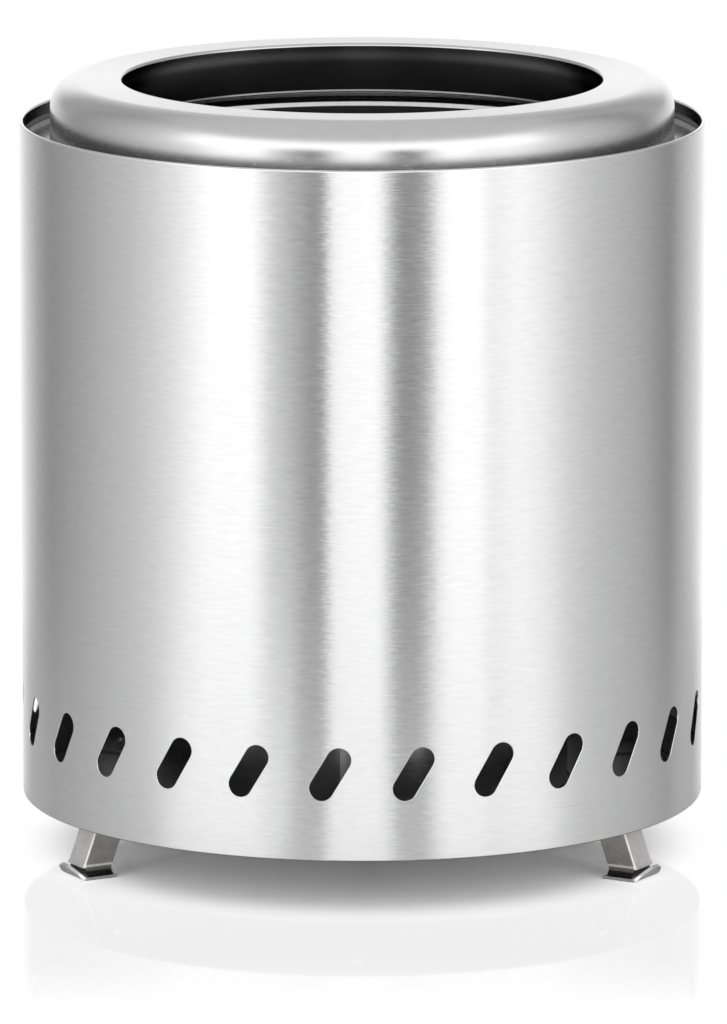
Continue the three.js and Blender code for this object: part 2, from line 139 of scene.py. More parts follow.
class FirePitRing(bpy.types.PropertyGroup):
    """Top ledge and the loose flame ring on it."""

    ledge_sheet: length("Ledge sheet", 1, "Thickness of the ledge")
    ledge_lip: length("Ledge lip", 1.7, "Height of the ledge's outer lip")
    sheet: length("Ring sheet", 1.2, "Thickness of the flame ring")
    opening: length("Opening", 133.1, "Radius of the flame ring's opening")
    shoulder: length("Shoulder", 16.4, "Outside radius of the ring's shoulder")
    top_drop: length("Top drop", 0.25, "Frame's highest point down to the flat top")
    opening_bend: length("Opening bend", 1.7, "Outside radius of the bend round the opening")
    skirt: length("Inner skirt", 27.9, "Depth of the skirt inside the opening")
    # The skirt's band is a painted highlight: lighter steel a little below the flat top
    highlight_drop: length("Band drop", 6.9, "Flat top down to the middle of the lighter band on the skirt")
    highlight_reach: length("Band reach", 4.4, "The band's middle to where it has faded out")
    hem_roll: length("Hem roll", 0.5, "How far the skirt's end is rolled inwards")
    roll_height: length("Roll height", 1.4, "Height over which the skirt's end rolls inwards")
    hem: length("Hem", 4, "Height of the hem at the skirt's end")


class FirePitPot(bpy.types.PropertyGroup):
    """Fire pot, grate, ash pan and base plate."""

    sheet: length("Pot sheet", 1, "Thickness of the pot")
    floor_hole: length("Floor hole", 122, "Radius of the hole in the pot's floor")
    floor_bend: length("Floor bend", 2, "Outside radius of the bend from the pot's wall to its floor")
    rim_height: length("Rim height", 1.8, "Height of the rolled rim")
    inside: length("Inside", 146, "Radius of the pot's inner wall")
    flare_drop: length("Flare drop", 5.2, "Pot's top down to where its wall begins to open out")
    flare: tilt("Flare", 12, "Lean of the wall under the rolled rim")
    flare_bend: length("Flare bend", 3.9, "Radius of the bend from the flare to the rim")
    air_hole: length("Air hole", 4, "Radius of an upper air hole")
    air_hole_drop: length("Air hole drop", 13, "Ledge down to the row of upper air holes")
    air_holes: number_of("Air holes", 24, "Upper air holes in the row")
    grate_sheet: length("Grate sheet", 1.5, "Thickness of the grate")
    grate_dish: length("Grate dish", 120, "Radius of the grate's sunk middle")
    grate_bend: length("Grate bend", 2.2, "Radius of the bends round the grate's sunk middle")
    grate_hole: length("Grate hole", 5, "Radius of a hole in the grate")
    grate_pitch: length("Grate hole pitch", 32, "Distance between holes in a row")
    grate_row: length("Grate row pitch", 26, "Distance between rows of holes")
    grate_finger: length("Finger hole", 11, "Radius of the hole in the grate's middle")
    pan_sheet: length("Pan sheet", 1, "Thickness of the ash pan")
    pan_bend: length("Pan bend", 4, "Outside radius of the bend round the pan's bottom")
    pan_edge: length("Pan edge", 0.6, "Rounding from the pan's wall to the top of its rim")
    pan_rim_width: length("Pan rim width", 3, "How far the pan's rim stands out")
    pan_rim_height: length("Pan rim height", 2, "Height of the pan's rim")
    grip_length: length("Grip length", 34, "Length of a grip hole in the pan")
    grip_height: length("Grip height", 14, "Height of a grip hole in the pan")
    grip_drop: length("Grip drop", 14, "Pan's rim down to a grip hole's centre")
    plate_sheet: length("Plate sheet", 1.2, "Thickness of the base plate")
    stop_width: length("Pan stop width", 3, "Width of the raised ring that keeps the pan centred")
    stop_inside: length("Pan stop inside", 117, "Inner radius of the raised ring")
    stop_foot: length("Pan stop foot", 0.4, "Rounding where the raised ring meets the plate")
    stop_round: length("Pan stop rounding", 1, "Rounding along the top of the raised ring")


class FirePitLegs(bpy.types.PropertyGroup):
    """Legs, foot pads, pot brackets and fasteners."""

    turn: tilt("Leg row turn", -0.8, "Turn of the three legs")
    lean: tilt("Lean", 20.3, "Lean of a leg from upright")
    inset: length("Inset", 6.2, "Shell's outside to where the leg's outer face meets the floor's level")
    width: length("Width", 19, "Width of a leg")
    depth: length("Depth", 17.5, "Depth of a leg, front to back")
    sheet: length("Sheet", 1.5, "Thickness of a leg")
    corner: length("Corner", 1.2, "Outside radius of a leg's corners")
    lip: length("Lip", 1.3, "Height of the pressed lip at a leg's lower end")
    lip_flare: length("Lip flare", 0.35, "How far that lip stands out")
    ear: length("Ear", 16, "How far a leg's ears reach sideways")
    pad_sheet: length("Pad sheet", 1.8, "Thickness of a foot pad's sole")
    pad_edge: length("Pad edge", 0.8, "Rounding of the sole's edge")
    pad_flare: length("Pad flare", 3.3, "How far the sole reaches past the leg's sides")
    pad_waist: length("Pad waist", 0.6, "How far the pad draws in under the leg")
    pad_plug: length("Pad plug", 7, "Height of the pad's plug inside the leg")
    pad_heel: length("Pad heel", 1.9, "How far the sole reaches inwards")
    tongue_radius: length("Tongue radius", 5, "Bend of the sole's tongue")
    tongue_slope: tilt("Tongue slope", 48, "Rise of the tongue's end")
    tongue_inset: length("Tongue inset", 0.7, "Shell's outside to the tongue's tip")
    tongue_start: length("Tongue start", 9.5, "Shell's outside to where the sole begins to curl up")
    tongue_shoulder: length("Tongue shoulder", 8.6, "Shell's outside to where the sole rounds off")
    bracket_width: length("Bracket width", 20, "Width of a pot bracket")
    bracket_sheet: length("Bracket sheet", 1.5, "Thickness of a pot bracket")
    bracket_foot: length("Bracket foot", 24, "Length of a pot bracket's foot")
    screw_radius: length("Screw radius", 2.4, "Radius of a screw's thread")
    head_radius: length("Head radius", 4.4, "Radius of a screw's head")
    head_height: length("Head height", 2.6, "Height of a screw's head")
    screw_end: length("Screw end", 1.5, "Thread that shows past the nut")
    socket: length("Socket", 1.7, "Radius of the hexagon socket in a screw's head")
    nut_radius: length("Nut radius", 4.6, "Radius of a nut over its corners")
    nut_height: length("Nut height", 4, "Height of a nut")
    rivet_radius: length("Rivet radius", 1.9, "Radius of a rivet's shank")
    rivet_head: length("Rivet head", 3.4, "Radius of a rivet's head")
    rivet_head_height: length("Rivet head height", 1.3, "Height of a rivet's head")
    rivet_height: length("Rivet height", 15, "Height of a rivet above the pot's floor")
    clearance: length("Clearance", 0.3, "Gap between pieces that touch")


class FirePitFinish(bpy.types.PropertyGroup):
    """Steel colours."""

    shell: tone("Shell colour", 0.80, 0.80, 0.805)
    # Painted shade: darkened steel for the shell's inner wall and the underside of its bottom bend
    inner: tone("Inner wall painted shade", 0.26, 0.26, 0.26)
    # Painted highlight: brighter steel on the top of the hemmed rim and on the slots' cut edges
    edge: tone("Painted edge highlight", 0.93, 0.93, 0.93)
    ring: tone("Ring colour", 0.80, 0.797, 0.797)
    ledge: tone("Ledge colour", 0.66, 0.66, 0.66)
    # Painted shade: the shell's wall in the gutter inside the hem is darkened steel
    gutter: tone("Gutter wall painted shade", 0.44, 0.44, 0.44)
    # Painted shade: the flame ring's inner skirt is darkened steel
    skirt: tone("Inner skirt painted shade", 0.25, 0.25, 0.25)
    # Painted highlight: the lighter band near the top of the inner skirt
    skirt_highlight: tone("Skirt painted highlight", 0.7, 0.7, 0.7)
    # Painted shade: the pot and the grate inside it are darkened steel
    pot: tone("Pot painted shade", 0.20, 0.198, 0.195)
    # Painted shade: the pot's rolled rim is darkened steel, less dark than the rest of the pot
    rim: tone("Pot rim painted shade", 0.44, 0.44, 0.44)
    pan: tone("Ash pan colour", 0.75, 0.75, 0.75)
    plated: tone("Plated sheet colour", 0.60, 0.60, 0.61)
    leg: tone("Leg colour", 0.90, 0.89, 0.87)
    leg_heat: tone("Leg heat tint", 0.46, 0.41, 0.35)
    # Painted shade: a leg's side faces are darker than its outer face, with a heat tint on top
    leg_side_shade: tone("Leg side painted shade", 0.52, 0.505, 0.48)
    side_heat: tone("Leg side heat tint", 0.36, 0.32, 0.27)
    pad: tone("Foot pad colour", 0.88, 0.88, 0.88)
    # Painted shade: the foot pad's waist groove is near-black steel
    groove: tone("Foot pad groove painted shade", 0.14, 0.14, 0.13)
    zinc: tone("Zinc plate colour", 0.72, 0.73, 0.75)


class FirePitStudio(bpy.types.PropertyGroup):
    """Camera and floor."""

    camera_distance: length("Camera distance", 5300, "Camera to the fire pit's axis, level")
    camera_height: length("Camera height", 1211.1, "Camera above the floor")
    camera_side: length("Camera side", 0.7, "Camera to the right of the axis")
    camera_pitch: tilt("Camera pitch", 10.924, "Camera's tilt below level")
    lens: FloatProperty(name="Lens", description="Focal length in millimetres", default=339.9)
    floor_radius: length("Floor radius", 700, "Radius of the round floor")


SETTINGS = {
    "pit_sheet": FirePitSheet,
    "pit_shell": FirePitShell,
    "pit_ring": FirePitRing,
    "pit_pot": FirePitPot,
    "pit_legs": FirePitLegs,
    "pit_finish": FirePitFinish,
    "pit_studio": FirePitStudio,
}


# Modelling helpers

def start_piece(name, primitive, scale=(1, 1, 1), **place):
    """Adds a primitive on its own, under the piece's name."""
    if bpy.context.object and bpy.context.object.mode != "OBJECT":
        bpy.ops.object.mode_set(mode="OBJECT")
    bpy.ops.object.select_all(action="DESELECT")
    primitive(**place)
    piece = bpy.context.object
    piece.name = piece.data.name = name
    piece.scale = scale
    return piece


def only(piece):
    """Makes a piece the one that operators act on."""
    bpy.ops.object.select_all(action="DESELECT")
    piece.select_set(True)
    bpy.context.view_layer.objects.active = piece


def settle(piece):
    """Moves the object's place into its mesh."""
    only(piece)
    bpy.ops.object.transform_apply(location=True, rotation=True, scale=True)


def apply_modifier(piece, kind, **settings):
    only(piece)
    modifier = piece.modifiers.new(kind.title(), kind)
    for name, value in settings.items():
        setattr(modifier, name, value)
    bpy.ops.object.modifier_apply(modifier=modifier.name)


def smooth(piece, angle=38):
    """Smooth bends, sharp cut edges, and flat faces that stay flat beside a bend."""
    only(piece)
    bpy.ops.object.shade_smooth_by_angle(angle=math.radians(angle))
    apply_modifier(piece, "WEIGHTED_NORMAL", keep_sharp=True, weight=100)


def edit(piece, mode="VERT"):
    """Goes into edit mode with nothing selected."""
    only(piece)
    bpy.ops.object.mode_set(mode="EDIT")
    bpy.ops.mesh.select_mode(type=mode)
    bpy.ops.mesh.select_all(action="DESELECT")


def leave_edit():
    bpy.ops.object.mode_set(mode="OBJECT")


def select_where(piece, kind, wanted):
    """Selects those elements of one kind in a mesh in edit mode that a test asks for, and nothing else."""
    leave_edit()
    mesh = piece.data
    for element in (*mesh.vertices, *mesh.edges, *mesh.polygons):
        element.select = False
    for element in getattr(mesh, kind):
        element.select = wanted(element)
    bpy.ops.object.mode_set(mode="EDIT")


def select_points(piece, wanted):
    """Selects points by a test on their place."""
    select_where(piece, "vertices", lambda vertex: wanted(vertex.co))


def select_faces(piece, wanted):
    """Selects faces by a test on their centre and normal."""
    select_where(piece, "polygons", lambda face: wanted(face.center, face.normal))


def select_edges(piece, wanted):
    """Selects edges by a test on the places of their two ends."""
    select_where(piece, "edges", lambda edge: wanted(*(piece.data.vertices[end].co for end in edge.vertices)))


def extrude(x=0.0, y=0.0, z=0.0):
    bpy.ops.mesh.extrude_region_move(TRANSFORM_OT_translate={"value": (x, y, z)})


def stretch_row(x=1.0, y=1.0):
    """Scales what is selected from the origin."""
    bpy.ops.transform.resize(value=(x, y, 1), center_override=(0, 0, 0))


def draw_rings(section):
    """Draws the selected ring out through the (radius, height) points of a section, from its first one."""
    for (radius, height), (next_radius, next_height) in zip(section, section[1:]):
        extrude(z=next_height - height)
        stretch_row(next_radius / radius, next_radius / radius)


def face_alike():
    """Turns all faces of a mesh in edit mode the same way, which is outwards where it is closed."""
    bpy.ops.mesh.select_all(action="SELECT")
    bpy.ops.mesh.normals_make_consistent(inside=False)


def weld_points():
    bpy.ops.mesh.select_all(action="SELECT")
    bpy.ops.mesh.remove_doubles(threshold=bpy.context.scene.pit_sheet.weld)
    face_alike()


def thicken(piece, sheet, side, edge, steps=3):
    """Thickens a folded surface, on its front for side 1 or its back for -1, and rounds its cut edges."""
    apply_modifier(piece, "SOLIDIFY", thickness=sheet, offset=side, use_even_offset=True)
    apply_modifier(piece, "BEVEL", width=edge, segments=steps, limit_method="ANGLE", angle_limit=CUT_EDGE)


def rounded(corners, steps):
    """A section of (radius, height, rounding) corners, with an arc of its rounding at each corner."""
    points = []
    count = len(corners)
    for index, (x, y, rounding) in enumerate(corners):
        corner = Vector((x, y))
        if not rounding:
            points.append((x, y))
            continue
        before = (Vector(corners[index - 1][:2]) - corner).normalized()
        after = (Vector(corners[(index + 1) % count][:2]) - corner).normalized()
        opening = before.angle(after)
        reach = rounding / math.tan(opening / 2)
        centre = corner + (before + after).normalized() * (rounding / math.sin(opening / 2))
        first = corner + before * reach - centre
        last = corner + after * reach - centre
        sweep = first.angle_signed(last)
        stops = max(1, round(steps * abs(sweep) / (math.pi / 2)))
        for stop in range(stops + 1):
            spoke = first.copy()
            spoke.rotate(Matrix.Rotation(-sweep * stop / stops, 2))
            points.append(tuple(centre + spoke))
    return points


def turn(name, section, columns, solid=False):
    """Carries a section round the axis, ring by ring. A solid one begins and ends with a flat face."""
    radius, height = section[0]
    piece = start_piece(
        name, bpy.ops.mesh.primitive_circle_add, vertices=columns, radius=radius,
        fill_type="NGON" if solid else "NOTHING", location=(0, 0, height),
    )
    bpy.ops.object.mode_set(mode="EDIT")
    bpy.ops.mesh.select_all(action="SELECT")
    draw_rings(section if solid else [*section, section[0]])
    weld_points()
    leave_edit()
    settle(piece)
    return piece


def join(pieces):
    only(pieces[0])
    for piece in pieces[1:]:
        piece.select_set(True)
    if len(pieces) > 1:
        bpy.ops.object.join()
    return bpy.context.object


def spun_copies(piece, angles):
    """Copies of a piece, each with its own mesh, turned about the axis. The first piece is used up."""
    copies = []
    for index, angle in enumerate(angles):
        copy = piece.copy()
        copy.data = piece.data.copy()
        copy.name = copy.data.name = f"{piece.name}_{index + 1}"
        bpy.context.scene.collection.objects.link(copy)
        copy.rotation_euler.z = angle
        settle(copy)
        copies.append(copy)
    bpy.data.objects.remove(piece)
    return copies


def drill(name, radius, low, high, sides, along_x=False):
    """A round cutter along Z, or along X, that runs past both ends of what it cuts."""
    cutter = start_piece(
        name, bpy.ops.mesh.primitive_cylinder_add, vertices=sides, radius=radius,
        depth=high - low + 2 * OVERRUN, location=(0, 0, (low + high) / 2),
    )
    settle(cutter)
    if along_x:
        cutter.rotation_euler.y = math.pi / 2
        settle(cutter)
    return cutter


def moved(piece, x=0.0, y=0.0, z=0.0):
    piece.location = (x, y, z)
    settle(piece)
    return piece


def cut(piece, cutters):
    """Takes the cutters out of a piece, and removes them."""
    tool = join(cutters)
    apply_modifier(piece, "BOOLEAN", operation="DIFFERENCE", solver="EXACT", object=tool)
    bpy.data.objects.remove(tool)


def true_walls(piece, radii):
    """Gives points on the round walls of these radii normals that point straight outwards or inwards."""
    mesh = piece.data
    near = 0.03 * MM
    steep = math.cos(math.radians(40))
    normals = [Vector(corner.vector) for corner in mesh.corner_normals]
    for loop in mesh.loops:
        place = mesh.vertices[loop.vertex_index].co
        distance = math.hypot(place.x, place.y)
        if all(abs(distance - radius) > near for radius in radii):
            continue
        outwards = Vector((place.x / distance, place.y / distance, 0))
        side = normals[loop.index].dot(outwards)
        if abs(side) > steep:
            normals[loop.index] = outwards if side > 0 else -outwards
    mesh.normals_split_custom_set(normals)


def finish(piece, material, body, nodes, accents=()):
    """Gives a finished piece its steel, its body and the nodes that it stands for.

    An accent is a second steel, and a test on a face's centre and normal that says where it goes.
    """
    piece.data.materials.clear()
    piece.data.materials.append(material)
    for accent, wanted in accents:
        piece.data.materials.append(accent)
        for face in piece.data.polygons:
            if wanted(face.center, face.normal):
                face.material_index = len(piece.data.materials) - 1
    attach(piece, body)
    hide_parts(*nodes)


# Shader helpers

def add_node(tree, kind, values=None, **settings):
    """Adds a node. Each value is a number, a colour or another node's output."""
    node = tree.nodes.new(kind)
    for name, setting in settings.items():
        setattr(node, name, setting)
    for key, value in (values or {}).items():
        if isinstance(value, bpy.types.NodeSocket):
            tree.links.new(value, node.inputs[key])
        else:
            node.inputs[key].default_value = value
    return node


def calculate(tree, operation, *values):
    node = add_node(tree, "ShaderNodeMath", dict(enumerate(values)), operation=operation)
    return node.outputs[0]


def remap(tree, value, low, high, new_low, new_high, kind="LINEAR"):
    node = add_node(tree, "ShaderNodeMapRange", {0: value, 1: low, 2: high, 3: new_low, 4: new_high},
                    interpolation_type=kind, clamp=True)
    return node.outputs[0]


def ease(tree, value, low, high, new_low=0.0, new_high=1.0):
    """A remap that starts and ends softly."""
    return remap(tree, value, low, high, new_low, new_high, "SMOOTHSTEP")


def weighted(tree, total, *parts):
    """A number, or a node's output, with each (output, weight) added to it."""
    for value, weight in parts:
        total = calculate(tree, "MULTIPLY_ADD", value, weight, total)
    return total


def degrees_round(tree, x, y):
    """Degrees round the axis, from the front towards +X."""
    turned = calculate(tree, "ARCTAN2", x, calculate(tree, "MULTIPLY", y, -1.0))
    return calculate(tree, "MULTIPLY", turned, math.degrees(1))


def seen_directly(tree):
    """1 for a ray from the camera, also through a clear piece, and 0 for any other."""
    path = add_node(tree, "ShaderNodeLightPath").outputs
    return calculate(tree, "MAXIMUM", path["Is Camera Ray"], path["Is Transmission Ray"])


def vector_math(tree, operation, *values):
    node = add_node(tree, "ShaderNodeVectorMath", dict(enumerate(values)), operation=operation)
    return node.outputs["Value" if operation in ("LENGTH", "DOT_PRODUCT") else "Vector"]


def noise(tree, vector, detail=2.0, roughness=0.5):
    node = add_node(tree, "ShaderNodeTexNoise", {"Vector": vector, "Scale": 1.0, "Detail": detail,
                                                 "Roughness": roughness})
    return node.outputs["Fac"]


def new_material(name):
    material = bpy.data.materials.new(name)
    material.use_nodes = True
    tree = material.node_tree
    tree.nodes.clear()
    return material, tree


def place_of(tree):
    """The object coordinates as a vector, and their three numbers."""
    place = add_node(tree, "ShaderNodeTexCoord").outputs["Object"]
    parts = add_node(tree, "ShaderNodeSeparateXYZ", {0: place}).outputs
    return place, parts[0], parts[1], parts[2]


def round_brushing(tree):
    """The way round the axis, and a function that gives streaks of a length and width that follow it."""
    _, x, y, z = place_of(tree)
    flat = add_node(tree, "ShaderNodeCombineXYZ", {0: x, 1: y}).outputs[0]
    outwards = vector_math(tree, "NORMALIZE", flat)
    radius = vector_math(tree, "LENGTH", flat)
    across = calculate(tree, "ADD", z, radius)
    around = vector_math(tree, "CROSS_PRODUCT", (0, 0, 1), outwards)

    def streaks(streak_length, streak_width):
        turned = vector_math(tree, "SCALE", outwards)
        scale = turned.node.inputs["Scale"]
        tree.links.new(calculate(tree, "DIVIDE", radius, streak_length), scale)
        line = calculate(tree, "DIVIDE", across, streak_width)
        lift = add_node(tree, "ShaderNodeCombineXYZ", {2: line}).outputs[0]
        return noise(tree, vector_math(tree, "ADD", turned, lift))

    return around, streaks


def surface_ways(tree, around, sideways):
    """The surface's normal turned sideways by streaks, and the way square to the brushing."""
    normal = add_node(tree, "ShaderNodeNewGeometry").outputs["Normal"]
    along = add_node(tree, "ShaderNodeVectorTransform", {0: around}, vector_type="VECTOR",
                     convert_from="OBJECT", convert_to="WORLD").outputs[0]
    push = vector_math(tree, "SCALE", along)
    tree.links.new(sideways, push.node.inputs["Scale"])
    turned = vector_math(tree, "NORMALIZE", vector_math(tree, "ADD", normal, push))
    return turned, vector_math(tree, "NORMALIZE", vector_math(tree, "CROSS_PRODUCT", normal, along))


def grey(tree, amount):
    return add_node(tree, "ShaderNodeCombineXYZ", {0: amount, 1: amount, 2: amount}).outputs[0]


def shaded(tree, colour, amount):
    """A colour made lighter and darker by an amount."""
    return vector_math(tree, "MULTIPLY", tuple(colour), grey(tree, amount))


def blend_colours(tree, part, shade, colour):
    """A shade, turned into a colour by a part from 0 to 1."""
    node = add_node(tree, "ShaderNodeMix", {0: part, 6: shade, 7: (*colour, 1)}, data_type="RGBA")
    return node.outputs[2]


def round_steel(name, colour, roughness, stretch, streak=0.06, grain=0.35 * MM, waver=0.03, rim_tint=1.0,
                band=None):
    """Steel brushed round the axis: fine long streaks, and highlights that stretch across them.

    Waver is how far, in radians, the streaks turn the surface to either side. A rim tint below 1 darkens
    the steel where it is seen at a slant. A band is a painted highlight: a height, how far from it the band
    has faded out, and the band's lighter colour.
    """
    material, tree = new_material(name)
    around, streaks = round_brushing(tree)
    fine = streaks(6 * MM, grain)
    broad = streaks(9 * MM, 5 * grain)
    wavering = streaks(5 * MM, 1.3 * grain)
    broad_share = 0.45
    mixed = weighted(tree, calculate(tree, "MULTIPLY", fine, 1 - broad_share), (broad, broad_share))
    amount = remap(tree, mixed, *CLOUD_SPAN, 1 - streak, 1 + streak / 2)
    rough = remap(tree, fine, *STREAK_SPAN, 0.92 * roughness, 1.1 * roughness)
    sideways = weighted(tree, -waver, (wavering, 2 * waver))
    turned, across = surface_ways(tree, around, sideways)
    bump = add_node(tree, "ShaderNodeBump", {
        "Height": fine, "Distance": 0.004 * MM, "Strength": 0.6, "Normal": turned})
    shade = shaded(tree, colour, amount)
    # A band is a painted highlight, lighter steel that fades out on either side of its height
    if band:
        middle, reach, lighter = band
        off = calculate(tree, "ABSOLUTE", calculate(tree, "SUBTRACT", place_of(tree)[3], middle))
        shade = blend_colours(tree, ease(tree, off, 0, reach, 1, 0), shade, lighter)
    surface = add_node(tree, "ShaderNodeBsdfPrincipled", {
        "Base Color": shade, "Metallic": 1.0, "Roughness": rough, "Specular Tint": (*(rim_tint,) * 3, 1),
        "Anisotropic": stretch, "Tangent": across, "Normal": bump.outputs[0],
    })
    add_node(tree, "ShaderNodeOutputMaterial", {"Surface": surface.outputs[0]})
    return material


def plain_steel(name, colour, roughness, grain=4 * MM, streak=0.07, dent=0.4, rough_share=0.15, tint=None,
                tint_share=0.0):
    """Mill finish steel with soft cloudy tones, and a heat tint where one is given."""
    material, tree = new_material(name)
    place = place_of(tree)[0]

    def clouds(cells, detail, harshness):
        """A noise with so many cells to a grain."""
        return noise(tree, vector_math(tree, "MULTIPLY", place, (cells / grain,) * 3), detail, harshness)

    speck = clouds(9, 2, 0.5)
    amount = remap(tree, clouds(1, 4, 0.6), *CLOUD_SPAN, 1 - streak, 1 + streak / 2)
    shade = shaded(tree, colour, amount)
    if tint is not None:
        where = ease(tree, clouds(0.45, 3, 0.55), 0.45, 0.68, 0, tint_share)
        shade = blend_colours(tree, where, shade, tint)
    rough = remap(tree, speck, *CLOUD_SPAN, roughness * (1 - rough_share), roughness * (1 + rough_share))
    bump = add_node(tree, "ShaderNodeBump", {"Height": speck, "Distance": 0.02 * MM, "Strength": dent})
    surface = add_node(tree, "ShaderNodeBsdfPrincipled", {
        "Base Color": shade, "Metallic": 1.0, "Roughness": rough, "Normal": bump.outputs[0],
    })
    add_node(tree, "ShaderNodeOutputMaterial", {"Surface": surface.outputs[0]})
    return material


# Places that several pieces share

def row_angles(turn_angle, offset=0.0):
    """Turns about Z, from +X, of a row of three that begins half a step left of the front."""
    step = 2 * math.pi / len(LEG_NAMES)
    return [turn_angle + step * (index - 0.5 + offset) - math.pi / 2 for index in range(len(LEG_NAMES))]


def even_turns(count):
    """Turns about Z, from +X, of copies that stand evenly round the axis from the front."""
    return [2 * math.pi * index / count - math.pi / 2 for index in range(count)]


def leg_face_at(height):
    """How far from the axis a leg's outer face is at a height."""
    legs = bpy.context.scene.pit_legs
    return SHELL[1].x - legs.inset - height * math.tan(legs.lean)


def lean_out(piece):
    """Moves a piece that is drawn upright, with its outer face at x = 0, onto a leg's lean."""
    for vertex in piece.data.vertices:
        vertex.co.x += leg_face_at(vertex.co.z)


def ear_places():
    """Screw places on a leg, in the leg's own frame."""
    legs = bpy.context.scene.pit_legs
    x = leg_face_at(SHELL[0].z - legs.clearance) - legs.depth / 2
    y = legs.width / 2 + legs.ear / 2
    return [(x, -y), (x, y)]


def bracket_web():
    """How far from the axis a bracket's upright part begins."""
    pot = bpy.context.scene.pit_pot
    return pot.inside + pot.sheet + bpy.context.scene.pit_legs.clearance


def bracket_screw():
    """How far from the axis a bracket's screw stands."""
    return bracket_web() + bpy.context.scene.pit_legs.bracket_foot / 2


def screw_hole_cutters(low, high):
    """Cutters for the nine screw holes through the bottom."""
    scene = bpy.context.scene
    legs = scene.pit_legs
    radius = legs.screw_radius + legs.clearance
    cutters = []
    for angles, places in (
        (row_angles(legs.turn), ear_places()),
        (row_angles(legs.turn, 0.5), [(bracket_screw(), 0)]),
    ):
        for x, y in places:
            hole = drill("screw_hole", radius, low, high, scene.pit_sheet.hole_sides)
            cutters += spun_copies(moved(hole, x, y), angles)
    return cutters


